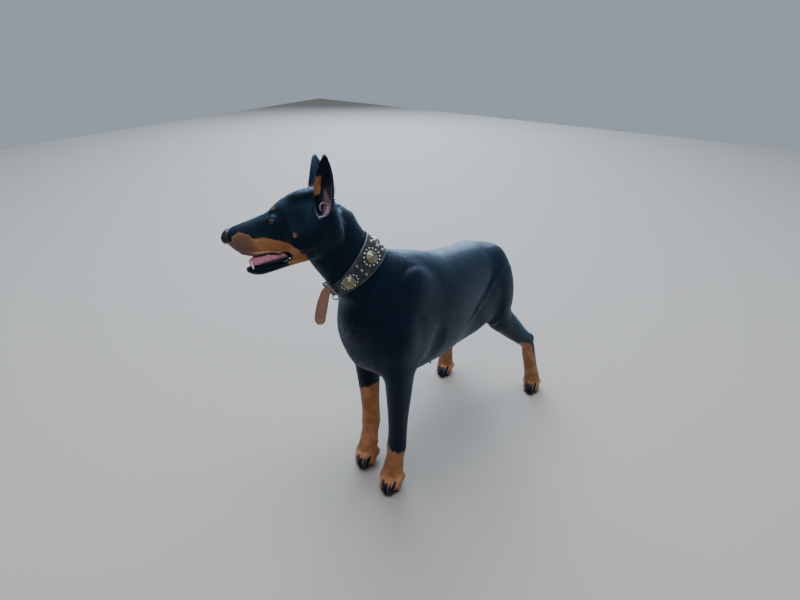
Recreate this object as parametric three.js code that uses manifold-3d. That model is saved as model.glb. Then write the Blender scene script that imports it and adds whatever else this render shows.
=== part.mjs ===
// A black and rust doberman bitch, life size, standing square on a level floor with her head turned to her
// right and her mouth a little open. She wears a broad leather collar with metal studs, and its loose end hangs.
// Millimetres: she faces -X, her left side is -Y, and +Z is up.
import * as THREE from "three";
import { mergeVertices } from "three/addons/utils/BufferGeometryUtils.js";
import Module from "manifold-3d";

const wasm = await Module();
wasm.setup();

const GAP = 0.3; // between pieces that touch
const FINENESS = 0.13; // facets nearer than this to flat are merged
const SWEEP = Math.PI * 2;
const LEFT = 1;
const RIGHT = -1;
const MIDDLE = -20; // the trunk's middle line at the flanks

// Driving dimensions: where the trunk and the head are, and how they are turned.
const WITHERS = { at: [88, -16, 662], yaw: 1, pitch: 3.8, roll: 0 };
const HEAD = { at: [-166, 82, 800], yaw: 41, pitch: -17, roll: 17 };

// The trunk, in its own frame from the top of the withers, x forward.
// Each row: x, top, bottom, half width, level of the greatest width, squareness.
const TRUNK = [
  [-500, -118, -152, 10, -135, 2],
  [-484, -90, -196, 44, -140, 2],
  [-440, -70, -240, 72, -146, 2],
  [-385, -60, -274, 84, -150, 2.1],
  [-325, -55, -307, 91, -162, 2.2],
  [-265, -49, -328, 100, -176, 2.2],
  [-205, -43, -342, 108, -186, 2.2],
  [-140, -36, -349, 114, -192, 2.2],
  [-70, -16, -351, 114, -194, 2.1],
  [0, 0, -347, 108, -196, 2.1],
  [72, -4, -328, 102, -184, 2],
  [122, -26, -286, 92, -166, 2],
  [160, -62, -240, 72, -150, 2],
  [184, -112, -190, 34, -150, 2],
];
// The fold of skin from the flank to the front of the thigh: its middle line on the left side, and its sizes.
const FLANK = [
  [286, 52, 372, 14, 26, 30],
  [330, 74, 386, 22, 40, 42],
  [376, 88, 404, 26, 50, 48],
  [430, 92, 424, 24, 50, 46],
];

// The neck, from inside the shoulders to inside the skull, in the part's frame.
// Each row: centre x, y, z, how far its sides have turned with the head (0 to 1), half width, over, under.
const NECK = [
  [62, -16, 540, 0, 70, 84, 92],
  [18, -13, 574, 0, 76, 92, 100],
  [-20, -6, 610, 0.1, 73, 88, 94],
  [-46, 7, 640, 0.25, 65, 80, 82],
  [-70, 26, 676, 0.45, 58, 74, 76],
  [-90, 48, 712, 0.7, 55, 77, 72],
  [-108, 64, 748, 0.9, 54, 80, 68],
  [-124, 70, 778, 1, 50, 66, 56],
];
const NECK_CUT = { at: [-30, 0, 622], along: [-0.52, 0.3, 0.8], reach: 150 };
const THROAT_CUT = { at: [-38, 0, -50], along: [0.78, 0, 0.62], reach: 140 }; // in the head's frame

// The head, in its own frame, x toward the nose, y to its left.
// Each row: x, top, bottom, half width, level of the greatest width, squareness.
const SKULL = [
  [-84, 14, -52, 20, -18, 2],
  [-74, 36, -80, 42, -16, 2],
  [-52, 50, -98, 54, -14, 2.1],
  [-26, 56.5, -104, 59, -16, 2.1],
  [4, 57, -103, 60, -20, 2.2],
  [28, 51, -100, 57, -24, 2.3],
  [44, 44, -94, 50, -26, 2.3],
  [58, 37, -84, 43, -26, 2.3],
  [70, 33, -72, 38, -24, 2.4],
  [84, 31, -62, 35, -22, 2.5],
  [104, 29.5, -57, 32, -20, 2.5],
  [124, 29, -55, 30, -18, 2.5],
  [142, 28.5, -49, 28, -14, 2.5],
  [156, 27.5, -37, 25, -8, 2.4],
  [168, 25, -22, 20, 0, 2.2],
  [176, 18, -8, 12, 5, 2],
];
const NOSE = [
  [160, 27.5, -4, 14, 12, 2.3],
  [168, 27.5, -5, 17.5, 12, 2.3],
  [176, 24, -5, 17, 11, 2.3],
  [182, 19, -3, 12.5, 9, 2.2],
  [186, 13, 2, 6, 8, 2],
];
const JAW = [
  [8, -78, -102, 30, -90, 2],
  [34, -82, -102, 36, -91, 2.2],
  [66, -84, -100, 32, -91, 2.4],
  [98, -80, -99, 27, -89, 2.5],
  [128, -75, -97, 22.5, -86, 2.5],
  [148, -70, -90, 17, -80, 2.4],
  [158, -70, -82, 9, -76, 2],
];
const TONGUE = [
  [46, -62, -84, 12, -76, 2],
  [62, -53, -82, 21, -70, 2.3],
  [90, -47, -80, 23, -66, 2.4],
  [116, -50, -77, 21, -65, 2.4],
  [132, -56, -75, 17, -66, 2.2],
  [143, -63, -74, 8, -69, 2],
];
const PALATE = [
  [46, -66, -100, 10, -80, 2],
  [62, -52, -92, 24, -74, 2.4],
  [90, -42, -80, 25, -62, 2.5],
  [120, -40, -78, 22, -60, 2.5],
  [140, -36, -70, 17, -54, 2.4],
  [151, -36, -60, 8, -50, 2],
];
const EYE = { at: [60, 30.5, 9], radius: 11.5, look: [0.62, 0.76, 0.08], opening: [13.5, 7.6] };
// The rim of the lids: how far it stands from the eye's middle, how it bows back and narrows to its corners,
// and the window inside it, from the eyeball out through the skin.
const LID = { stand: 9.6, bow: 0.016, droop: 0.25, wire: 2.4, count: 12, around: 5 };
const EYE_WINDOW = { inset: 1.6, near: 4, far: 30, square: 1.7 };
const NOSTRIL = { at: [185, 6.6, 10.5], radii: [8, 3.4, 4.2] };

// An ear, left of the middle of the head: up its length, the middle of its opening.
// Each row: x, y, z, half the width of the opening, depth of the cup, thickness, forward turn of the opening.
const EAR = [
  [-47, 44, -26, 12, 9, 5, 0.25],
  [-53, 46, -10, 21, 16, 5, 0.28],
  [-60, 47, 12, 26, 20, 5, 0.34],
  [-68, 48, 34, 27, 19, 4.6, 0.4],
  [-77, 50, 56, 24, 15, 4.2, 0.44],
  [-85, 53, 76, 18.5, 11, 3.8, 0.47],
  [-91, 56, 92, 12, 7, 3.4, 0.49],
  [-95, 58, 101, 6.5, 4, 3, 0.5],
];
// The right ear is held a little higher and further forward than the left one.
const RIGHT_EAR = { forward: 0.13, stretch: 1.08, lift: 5 };
// How fast the wall inside the cup closes: the least depth and the least opening that stay, and how fast it narrows.
const EAR_WALL = { leastDepth: 0.3, leastHalf: 0.45, narrowing: 0.8, arc: 6 };
const EAR_HOLLOW = { places: [0.35, 1, 2, 3, 4], mouth: 1.1, reach: 22, arc: 5 };

// Where each leg's joints are. The soles rest on the floor.
// A leg's sides turn with it, and its paw has a turn of its own, in degrees toward her left.
const LEGS = {
  left_fore: {
    joints: [[62, -60, 596], [-10, -88, 480], [-6, -85, 366], [1, -68, 124], [-14, -63, 38], [-32, -60, -3]],
    turn: 3,
    pawTurn: 24,
  },
  right_fore: {
    joints: [[76, 36, 596], [28, 78, 480], [60, 78, 366], [55, 66, 124], [32, 64, 38], [10, 62, -3]],
    turn: -4,
    pawTurn: 24,
  },
  left_hind: {
    joints: [[488, -48, 552], [498, -80, 470], [462, -112, 352], [634, -142, 198], [684, -150, 38], [678, -151, -3]],
    turn: 2,
    pawTurn: 22,
  },
  right_hind: {
    joints: [[482, 16, 552], [478, 58, 470], [440, 104, 342], [596, 148, 176], [600, 157, 38], [586, 157, -3]],
    turn: -6,
    pawTurn: 20,
  },
};

// Sections of a foreleg and of a hind leg.
// Each row: place along the joints, half width, reach to the front, reach to the back, shift to the front.
const FORE = [
  [0, 14, 22, 22, 0],
  [0.12, 26, 38, 40, 0],
  [0.5, 34, 54, 62, 0],
  [1, 38, 56, 74, 0],
  [1.5, 38, 56, 64, 0],
  [1.88, 37, 54, 46, 0],
  [2.06, 35, 50, 38, 0],
  [2.3, 31, 40, 33, 0],
  [2.6, 26, 31, 28, 0],
  [2.85, 25, 26, 26, 0],
  [3, 27, 27, 27, 2],
  [3.35, 24.5, 23, 24, 0],
  [3.75, 28, 24, 26, 0],
  [4.15, 31, 26, 31, 0],
  [4.7, 30, 23, 28, 0],
  [5, 24, 16, 22, 0],
];
const HIND = [
  [0, 24, 36, 34, 0],
  [0.15, 38, 56, 50, 0],
  [0.8, 48, 82, 64, 0],
  [1.3, 48, 74, 74, 0],
  [1.65, 43, 58, 70, 0],
  [1.95, 38, 44, 55, 0],
  [2.2, 32, 35, 46, 0],
  [2.5, 26, 30, 36, 0],
  [2.78, 21, 25, 26, 0],
  [3, 20, 24, 24, 0],
  [3.3, 21, 23, 25, 0],
  [3.65, 21, 23, 24, 0],
  [3.88, 25, 24, 25, 0],
  [4.2, 28, 24, 28, 0],
  [4.7, 27, 22, 26, 0],
  [5, 21, 15, 20, 0],
];
const LIMB_SQUARE = 2.1;
// The point of the hock stands up behind the joint, and the carpal pad behind the wrist.
const HEEL = { back: 17, lift: 10, radii: [10, 13, 19] };
const WRIST_PAD = { back: 25, drop: 14, radii: [7, 9, 10] };

// Toes fan out from the end of the leg. Each row of toes: sideways place, reach forward and outward turn.
const FORE_PAW = { toes: [[24, 30, -12], [8.5, 45, -4], [-8.5, 45, 4], [-24, 30, 12]], radius: 12.5, arch: 35 };
const HIND_PAW = { toes: [[20, 27, -10], [7, 41, -4], [-7, 41, 4], [-20, 27, 10]], radius: 11, arch: 33 };
// Along a toe: how far ahead of its reach, how far under the arch,
// and shares of its radius to the side, over and under.
const TOE = [
  [-42, 8, 0.8, 0.9, 1.2],
  [-20, 7, 1, 0.95, 1.8],
  [-4, 13, 1.04, 1.02, 1.7],
  [8, 22, 0.98, 0.94, 1.2],
  [15, 25, 0.66, 0.62, 0.7],
];
const CLAW = { length: 19, radius: 3.8, sunk: 7, height: 13, ahead: 9 };
// Along a claw from the skin: share of its length, drop and share of its radius.
const CLAW_ROWS = [
  [0, 0, 1],
  [0.5, 2.6, 0.75],
  [0.88, 7.5, 0.34],
  [1, 10, 0.12],
];
const CLAW_WIDTH = 0.8;
const DEWCLAW = { lift: 62, length: 17, radius: 3.4, sunk: 6, inward: 25, ahead: 2, heading: [-0.85, 0.35, -0.4] };
const DEWCLAW_PAD = { back: 2, inward: 20, lift: 2, radii: [12, 8, 10] };
const FLOOR_CUT = { size: 2400, depth: 60 };

const TAIL = {
  joints: [[524, -20, 520], [566, -24, 508], [592, -32, 468], [602, -40, 410], [598, -46, 346], [582, -50, 286]],
  radius: [22, 20, 17, 14, 11, 7],
};

// The collar lies round the neck between two places along it. Angles on it are counted from the nape.
const COLLAR = { rear: [3.07, -0.22, 0.03], front: [4.12, 0.25, 0], thick: 4, ease: 1.5, sides: 32, across: 2 };
const CONCHO = { radius: 16, angles: [-104, -46, 12, 70, 128], sides: 12, seatSides: 18 };
// The outline of a concho from its foot to its boss: share of its radius, and height.
const CONCHO_OUTLINE = [
  [0, GAP],
  [1, GAP],
  [1, 2],
  [0.78, 3],
  [0.6, 2.4],
  [0.3, 5.6],
  [0, 5.6],
];
const STUD = { radius: 2.8, shoulder: 0.8, foot: 1.5, rise: 2.2, ring: 21, count: 12, sides: 4 };
const SPIKE = { radius: 4.2, shoulder: 1, foot: 1.5, rise: 10.5, sides: 5, angles: [-133, -75, -17, 41, 99], places: [0.22, 0.5, 0.78] };
const SUNK = 1.2; // how deep the studs and spikes are set in the leather
const BUCKLE = { angle: 172, across: 0.86, wide: 30, tall: 44, wire: 3.4, stand: 3 };
const STRAP_END = { wide: 13, thick: 2, length: 92, square: 5, clear: 1 };
// Down the loose end: share of its length, how far it swings to her front and to her right, share of its width.
const STRAP_ROWS = [
  [-0.06, 4, 1.2, 0.7],
  [0.06, 10, 3.7, 0.84],
  [0.4, 16, 10.3, 1],
  [0.78, 18.7, 17, 1],
  [0.93, 18, 18, 0.8],
  [1, 17.5, 18.5, 0.34],
];

const finish = (color, roughness, metalness = 0) => new THREE.MeshStandardMaterial({ color, roughness, metalness });
const COAT = finish("#14171c", 0.45);
const NOSE_LEATHER = finish("#15161a", 0.4);
const FLESH = finish("#d98c93", 0.35);
const HORN = finish("#121212", 0.35);
const EYE_GLOSS = finish("#1d130c", 0.08);
const LEATHER = finish("#16181b", 0.5);
const TAN_LEATHER = finish("#8a5a45", 0.6);
const BRONZE = finish("#9c8a5f", 0.35, 1);
const STEEL = finish("#c9ccd0", 0.25, 1);

const vector = (xyz) => new THREE.Vector3(...xyz);
const clamp = (value, low, high) => Math.min(Math.max(value, low), high);

// A smooth value at a place in a list of numbers, with the place counted in entries.
function smooth(list, place) {
  const i = clamp(Math.floor(place), 0, list.length - 2);
  const f = place - i;
  const [a, b, c, d] = [i - 1, i, i + 1, i + 2].map((k) => list[clamp(k, 0, list.length - 1)]);
  return 0.5 * (2 * b + (c - a) * f + (2 * a - 5 * b + 4 * c - d) * f * f + (3 * b - a - 3 * c + d) * f * f * f);
}

const smoothRow = (rows, place) => rows[0].map((_, column) => smooth(rows.map((row) => row[column]), place));

// A frame with x forward, y to the left and z up, from a place and its turns in degrees.
function frameOf({ at, yaw, pitch, roll }) {
  const [turn, rise, tilt] = [yaw, pitch, roll].map(THREE.MathUtils.degToRad);
  const flat = Math.cos(rise);
  const forward = new THREE.Vector3(-Math.cos(turn) * flat, Math.sin(turn) * flat, Math.sin(rise));
  const level = new THREE.Vector3(0, 0, 1).cross(forward).normalize();
  const upright = forward.clone().cross(level);
  const left = level.clone().multiplyScalar(Math.cos(tilt)).addScaledVector(upright, Math.sin(tilt));
  return new THREE.Matrix4().makeBasis(forward, left, forward.clone().cross(left)).setPosition(...at);
}

const TRUNK_FRAME = frameOf(WITHERS);
const HEAD_FRAME = frameOf(HEAD);
const WORLD = new THREE.Matrix4();

// One oval section of a tube at a place along its rows: its centre and its three axes.
// A row holds the centre, the direction of its width, half width, over, under and squareness.
function sectionAt(rows, place) {
  const row = smoothRow(rows, place);
  const step = 0.02;
  const ahead = smoothRow(rows, Math.min(place + step, rows.length - 1));
  const behind = smoothRow(rows, Math.max(place - step, 0));
  const along = vector(ahead.slice(0, 3)).sub(vector(behind.slice(0, 3))).normalize();
  const side = vector(row.slice(3, 6));
  side.addScaledVector(along, -side.dot(along)).normalize();
  const over = along.clone().cross(side);
  return { centre: vector(row.slice(0, 3)), along, side, over, size: row.slice(6) };
}

// A point on the rim of a section, with the angle counted from its side toward its over direction.
function rimPoint({ centre, side, over, size }, angle, grow = 0) {
  const [wide, above, below, square] = size;
  const bend = (value) => Math.sign(value) * Math.abs(value) ** (2 / square);
  const c = bend(Math.cos(angle));
  const s = bend(Math.sin(angle));
  const reach = (s > 0 ? above : below) + grow;
  return centre.clone().addScaledVector(side, c * (wide + grow)).addScaledVector(over, s * reach);
}

// A closed surface over rings of points that all have the same count.
function skinOver(rings) {
  const count = rings[0].length;
  const middle = (ring) => ring.reduce((sum, p) => sum.add(p), new THREE.Vector3()).divideScalar(count);
  const points = [...rings.flat(), middle(rings[0]), middle(rings.at(-1))];
  const first = points.length - 2;
  const index = [];
  for (let k = 0; k < count; k++) {
    const next = (k + 1) % count;
    index.push(first, next, k);
    const last = (rings.length - 1) * count;
    index.push(first + 1, last + k, last + next);
    for (let i = 0; i < rings.length - 1; i++) {
      const [a, b] = [i * count, (i + 1) * count];
      index.push(a + k, a + next, b + next, a + k, b + next, b + k);
    }
  }
  return new THREE.BufferGeometry().setFromPoints(points).setIndex(index);
}

// A closed oval tube through rows of sections.
function tube(rows, { sides = 16, steps = 2, grow = 0, frame = WORLD } = {}) {
  const rings = [];
  const last = (rows.length - 1) * steps;
  for (let i = 0; i <= last; i++) {
    const section = sectionAt(rows, i / steps);
    const end = i === 0 ? -grow : i === last ? grow : 0;
    section.centre.addScaledVector(section.along, end);
    rings.push(Array.from({ length: sides }, (_, k) => rimPoint(section, (SWEEP * (k + 0.5)) / sides, grow)));
  }
  return skinOver(rings).applyMatrix4(frame);
}

// Rows for a tube that runs along x, from rows of x, top, bottom, half width, widest level and squareness.
const alongX = (rows) =>
  rows.map(([x, top, bottom, wide, level, square]) => {
    const [over, under] = [top - level, level - bottom];
    return [x, 0, level, 0, 1, 0, wide, over, under, square];
  });

// A closed geometry as a solid that can be joined and cut.
function solidOf(geometry) {
  const bare = geometry.clone();
  bare.deleteAttribute("normal");
  bare.deleteAttribute("uv");
  const merged = mergeVertices(bare, 1e-4);
  const faces = [];
  for (let i = 0; i < merged.index.count; i += 3) {
    const [a, b, c] = [0, 1, 2].map((k) => merged.index.getX(i + k));
    if (a !== b && b !== c && c !== a) faces.push(a, b, c);
  }
  const vertProperties = merged.attributes.position.array;
  return new wasm.Manifold(new wasm.Mesh({ numProp: 3, vertProperties, triVerts: new Uint32Array(faces) }));
}

const join = (solids) => solids.reduce((all, one) => all.add(one));
const largest = (solid) => solid.decompose().reduce((a, b) => (a.volume() > b.volume() ? a : b));

// A thin round blade that parts the flesh.
function blade({ at, along, reach }) {
  const turn = new THREE.Quaternion().setFromUnitVectors(new THREE.Vector3(0, 1, 0), vector(along).normalize());
  const disc = new THREE.CylinderGeometry(reach, reach, GAP, 32).applyQuaternion(turn);
  return solidOf(disc.translate(...at));
}

// A blade given in the head's frame.
function bladeInHead({ at, along, reach }) {
  const place = vector(at).applyMatrix4(HEAD_FRAME);
  const way = vector(along).transformDirection(HEAD_FRAME);
  return blade({ at: place.toArray(), along: way.toArray(), reach });
}

// The piece whose box has its middle nearest a point.
function pieceAt(pieces, point) {
  const middle = (piece) => {
    const { min, max } = piece.boundingBox();
    return new THREE.Vector3((min[0] + max[0]) / 2, (min[1] + max[1]) / 2, (min[2] + max[2]) / 2);
  };
  const far = (piece) => middle(piece).distanceTo(vector(point));
  return pieces.filter((piece) => piece.volume() > 100).reduce((a, b) => (far(a) < far(b) ? a : b));
}

// The rows of the neck, its sides turning from the trunk's left to the head's left.
function neckRows() {
  const trunkLeft = new THREE.Vector3().setFromMatrixColumn(TRUNK_FRAME, 1);
  const headLeft = new THREE.Vector3().setFromMatrixColumn(HEAD_FRAME, 1);
  return NECK.map(([x, y, z, turned, wide, above, below]) => {
    const side = trunkLeft.clone().lerp(headLeft, turned).normalize();
    return [x, y, z, ...side.toArray(), wide, above, below, LIMB_SQUARE];
  });
}

// The rows of the fold of skin at a flank, on either side of the trunk's middle.
function flankRows(side) {
  const sideways = [0, 1, 0];
  return FLANK.map(([x, y, z, ...sizes]) => [x, MIDDLE - side * y, z, ...sideways, ...sizes, 2]);
}

// The rows of a leg, from its joints and the sections of its kind.
function legRows({ joints, turn }, sections) {
  const side = new THREE.Vector3(0, -1, 0).applyAxisAngle(new THREE.Vector3(0, 0, 1), THREE.MathUtils.degToRad(turn));
  return sections.map(([place, wide, front, back, shift]) => {
    const i = clamp(Math.floor(place), 0, joints.length - 2);
    const centre = vector(joints[i]).lerp(vector(joints[i + 1]), place - i);
    centre.x -= shift;
    return [...centre.toArray(), ...side.toArray(), wide, front, back, LIMB_SQUARE];
  });
}

// The middle line of each toe of a paw: where its root is, which way it points and how far it reaches.
function toesOf({ joints, pawTurn }, paw) {
  const [x, y] = joints[4];
  const facing = THREE.MathUtils.degToRad(180 + pawTurn);
  return paw.toes.map(([aside, reach, fan]) => {
    const heading = facing + THREE.MathUtils.degToRad(fan);
    const ahead = new THREE.Vector3(Math.cos(heading), Math.sin(heading), 0);
    const left = new THREE.Vector3(-ahead.y, ahead.x, 0);
    const root = new THREE.Vector3(x - Math.sin(facing) * aside, y + Math.cos(facing) * aside, 0);
    return { root, ahead, left, reach };
  });
}

// A toe, arched from the knuckles down to the floor.
function toe({ root, ahead, left, reach }, { radius, arch }) {
  const rows = TOE.map(([along, drop, wide, over, under]) => {
    const centre = root.clone().addScaledVector(ahead, reach + along).setZ(arch - drop);
    return [...centre.toArray(), ...left.toArray(), wide * radius, over * radius, under * radius, LIMB_SQUARE];
  });
  return tube(rows, { sides: 6, steps: 1 });
}

// A curved claw that grows from inside the flesh, forward and down to its tip.
function claw({ root, ahead, left }, { length, radius, sunk }, grow = 0) {
  const rows = [[-sunk / length, 0, 1], ...CLAW_ROWS].map(([share, drop, size]) => {
    const centre = root.clone().addScaledVector(ahead, share * length);
    centre.z -= drop;
    return [...centre.toArray(), ...left.toArray(), size * radius * CLAW_WIDTH, size * radius, size * radius, 2];
  });
  return tube(rows, { sides: 5, steps: 1, grow });
}

// A ball stretched along the axes of a frame.
function ball(at, radii, { frame = WORLD, detail = [8, 6], grow = 0 } = {}) {
  const shape = new THREE.SphereGeometry(1, ...detail).scale(...radii.map((radius) => radius + grow));
  return shape.translate(...at).applyMatrix4(frame);
}

// A cone whose foot is at a place and whose tip is at another.
function cone(foot, tip, radius, { sides = 5, frame = WORLD } = {}) {
  const along = vector(tip).sub(vector(foot));
  const shape = new THREE.ConeGeometry(radius, along.length(), sides).translate(0, along.length() / 2, 0);
  const turn = new THREE.Quaternion().setFromUnitVectors(new THREE.Vector3(0, 1, 0), along.clone().normalize());
  return shape.applyQuaternion(turn).translate(...foot).applyMatrix4(frame);
}

// The same geometry on the other side of the middle plane of the head.
function mirrored(geometry) {
  const other = geometry.clone().applyMatrix4(new THREE.Matrix4().makeScale(1, -1, 1));
  const index = other.index.array;
  for (let i = 0; i < index.length; i += 3) [index[i + 1], index[i + 2]] = [index[i + 2], index[i + 1]];
  return other;
}

const onSide = (geometry, side) => (side === LEFT ? geometry : mirrored(geometry)).applyMatrix4(HEAD_FRAME);

// The directions of an ear's opening at a row: out of the cup, and from its front edge to its back edge.
function earAxes(turn) {
  const sideways = Math.sqrt(1 - turn * turn);
  return { out: new THREE.Vector3(turn, sideways, 0), back: new THREE.Vector3(-sideways, turn, 0) };
}

// The rows of an ear on its own side, given as if it were the left one.
const earRows = (side) =>
  side === LEFT
    ? EAR
    : EAR.map(([x, y, z, ...rest]) => {
        const up = z - EAR[0][2];
        const { forward, stretch, lift } = RIGHT_EAR;
        return [x + forward * up, y, EAR[0][2] + stretch * up + lift, ...rest];
      });

// An ear is a cup with an even wall, open to the side and forward.
function earCup(side, grow = 0) {
  const { leastDepth, leastHalf, narrowing, arc } = EAR_WALL;
  const rings = earRows(side).map(([x, y, z, half, depth, thick, turn], i) => {
    const { out, back } = earAxes(turn);
    const lift = i === 0 ? -grow : 0;
    const rim = (angle, inset) => {
      const reach = Math.max(depth - inset, depth * leastDepth);
      const spread = Math.max(half - inset * narrowing, half * leastHalf);
      return new THREE.Vector3(x, y, z + lift)
        .addScaledVector(back, -Math.cos(angle) * spread)
        .addScaledVector(out, grow - Math.sin(angle) * (reach + grow));
    };
    const outer = Array.from({ length: arc + 1 }, (_, k) => rim(Math.PI * (1 - k / arc), -grow));
    const inner = Array.from({ length: arc - 1 }, (_, k) => rim((Math.PI * (k + 1)) / arc, thick + grow));
    return [...outer, ...inner];
  });
  return onSide(skinOver(rings), side);
}

// The hollow inside the cup of an ear, out through its opening, where the cup is sunk in the head.
function earHollow(side) {
  const { places, mouth, reach, arc } = EAR_HOLLOW;
  const rings = places.map((place) => {
    const [x, y, z, half, depth, thick, turn] = smoothRow(earRows(side), place);
    const { out, back } = earAxes(turn);
    const point = (along, deep) => new THREE.Vector3(x, y, z).addScaledVector(back, along).addScaledVector(out, deep);
    const inner = Array.from({ length: arc + 1 }, (_, k) => {
      const angle = Math.PI * (1 - k / arc);
      return point(-Math.cos(angle) * (half - thick), -Math.sin(angle) * (depth - thick));
    });
    return [...inner, point(-half * mouth, reach), point(half * mouth, reach)];
  });
  return onSide(skinOver(rings), side);
}

// The directions of an eye: out along its look, toward the nose and up.
function eyeAxes() {
  const out = vector(EYE.look).normalize();
  const along = new THREE.Vector3(0, 0, 1).cross(out).normalize();
  return { out, along, up: out.clone().cross(along) };
}

// The rim of an almond shaped opening round an eye: a tube bent into a ring.
function lidRim(side) {
  const { out, along, up } = eyeAxes();
  const { stand, bow, droop, wire, count, around } = LID;
  const ring = Array.from({ length: count }, (_, k) => {
    const angle = (SWEEP * k) / count;
    const spread = Math.cos(angle) * EYE.opening[0];
    const lift = Math.sin(angle) * EYE.opening[1] * (1 - droop * Math.cos(angle) ** 2);
    const far = stand - bow * spread * spread;
    return vector(EYE.at).addScaledVector(out, far).addScaledVector(along, spread).addScaledVector(up, lift);
  });
  const middle = vector(EYE.at).addScaledVector(out, stand);
  const rims = ring.map((point) => {
    const away = point.clone().sub(middle).normalize();
    return Array.from({ length: around }, (_, k) => {
      const angle = (SWEEP * k) / around;
      return point.clone().addScaledVector(away, wire * Math.cos(angle)).addScaledVector(out, wire * Math.sin(angle));
    });
  });
  return onSide(hoop(rims), side);
}

// A closed surface over rings of points that follow one another round a loop.
function hoop(rings) {
  const count = rings[0].length;
  const index = [];
  rings.forEach((_, i) => {
    const [a, b] = [i * count, ((i + 1) % rings.length) * count];
    for (let k = 0; k < count; k++) {
      const next = (k + 1) % count;
      index.push(a + k, b + next, a + next, a + k, b + k, b + next);
    }
  });
  return new THREE.BufferGeometry().setFromPoints(rings.flat()).setIndex(index);
}

// The window between the lids, from the eyeball out through the skin.
function eyeWindow(side) {
  const { out, along } = eyeAxes();
  const { inset, near, far, square } = EYE_WINDOW;
  const [half, tall] = EYE.opening.map((size) => size - inset);
  const row = (away) => {
    const centre = vector(EYE.at).addScaledVector(out, away);
    return [...centre.toArray(), ...along.toArray(), half, tall, tall, square];
  };
  return onSide(tube([row(near), row(far)], { sides: 12, steps: 1 }), side);
}

const eyeball = (side, grow = 0) =>
  onSide(ball(EYE.at, [EYE.radius, EYE.radius, EYE.radius], { detail: [12, 8], grow }), side);

// The teeth that the open mouth shows, as cones rooted in the gums.
// Each row: x, y, foot height, tip height, lean forward, radius.
const LOWER_TEETH = [
  [143, 13, -80, -57, 3, 3.6],
  [153.4, 3, -77, -67, 2, 2.1],
  [152.5, 7.6, -77, -67, 2, 2.1],
];
const UPPER_TEETH = [
  [149, 15, -34, -47, 2, 3.6],
  [161.2, 2.8, -24, -34, 1, 2.1],
  [159.8, 7.4, -24, -34, 1, 2.1],
  [134, 21, -44, -52, 0, 3.6],
  [121, 22.8, -44, -53, 0, 3.6],
  [108, 24.6, -44, -55, 0, 3.8],
  [95, 26.4, -44, -55, 0, 3.8],
];
const teeth = (rows) =>
  [LEFT, RIGHT].flatMap((side) =>
    rows.map(([x, y, foot, tip, lean, radius]) =>
      solidOf(cone([x, side * y, foot], [x + lean, side * y, tip], radius, { frame: HEAD_FRAME })),
    ),
  );

// Where a point on the collar is, from its angle at the nape in degrees and its place across (0 to 1).
// Each edge of the strap is a loop that leans on the neck: its middle place, its lean at the nape and at the left.
const neckLine = neckRows();
function onCollar(degrees, across, lift = 0) {
  const turn = THREE.MathUtils.degToRad(degrees);
  const edge = ([middle, nape, left]) => middle + nape * Math.cos(turn) + left * Math.sin(turn);
  const place = THREE.MathUtils.lerp(edge(COLLAR.rear), edge(COLLAR.front), across);
  return rimPoint(sectionAt(neckLine, place), Math.PI / 2 - turn, COLLAR.ease + lift);
}

// The strap of the collar, as a band round the neck.
function collarBand() {
  const rings = Array.from({ length: COLLAR.sides }, (_, k) => {
    const degrees = (360 * k) / COLLAR.sides;
    const inner = Array.from({ length: COLLAR.across + 1 }, (_, i) => onCollar(degrees, i / COLLAR.across));
    const outer = inner.map((_, i) => onCollar(degrees, 1 - i / COLLAR.across, COLLAR.thick));
    return [...inner, ...outer];
  });
  return hoop(rings);
}

// Sets a shape that stands along +Z on the collar's face.
function setOnCollar(geometry, degrees, across, lift = COLLAR.thick) {
  const step = 0.05;
  const foot = onCollar(degrees, across, lift);
  const [low, high] = [Math.max(across - step, 0), Math.min(across + step, 1)];
  const along = onCollar(degrees, high, lift).sub(onCollar(degrees, low, lift));
  const round = onCollar(degrees + 2, across, lift).sub(onCollar(degrees - 2, across, lift));
  const out = round.cross(along).normalize();
  const away = onCollar(degrees, across, lift + 1).sub(foot);
  if (out.dot(away) < 0) out.negate();
  along.addScaledVector(out, -along.dot(out)).normalize();
  const frame = new THREE.Matrix4().makeBasis(along, out.clone().cross(along), out).setPosition(foot);
  return geometry.applyMatrix4(frame);
}

// A turned shape that stands along +Z, from its outline as radius and height.
function turned(outline, sides) {
  const points = outline.map(([radius, height]) => new THREE.Vector2(radius, height));
  return new THREE.LatheGeometry(points, sides).rotateX(Math.PI / 2);
}

const conchoShape = () =>
  turned(CONCHO_OUTLINE.map(([share, height]) => [share * CONCHO.radius, height]), CONCHO.sides);
// A small shape of the collar: a straight foot set in the leather, then a point.
function pointed({ radius, shoulder, foot, rise }, sides) {
  return turned([[0, -SUNK], [radius, -SUNK], [radius * shoulder, foot], [0, rise]], sides);
}

// The studs round each concho and the rows of spikes between them.
function collarStuds() {
  const wide = onCollar(0, 0).distanceTo(onCollar(0, 1));
  const girth = Array.from({ length: 36 }, (_, k) => onCollar(k * 10, 0.5).distanceTo(onCollar(k * 10 + 10, 0.5)));
  const degreesPerMm = 360 / girth.reduce((a, b) => a + b);
  const studs = CONCHO.angles.flatMap((degrees) =>
    Array.from({ length: STUD.count }, (_, k) => {
      const turn = (SWEEP * (k + 0.5)) / STUD.count;
      const round = degrees + Math.sin(turn) * STUD.ring * degreesPerMm;
      return setOnCollar(pointed(STUD, STUD.sides), round, 0.5 + (Math.cos(turn) * STUD.ring) / wide);
    }),
  );
  const spikes = SPIKE.angles.flatMap((degrees) =>
    SPIKE.places.map((place) => setOnCollar(pointed(SPIKE, SPIKE.sides), degrees, place)),
  );
  return [...studs, ...spikes];
}

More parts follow.
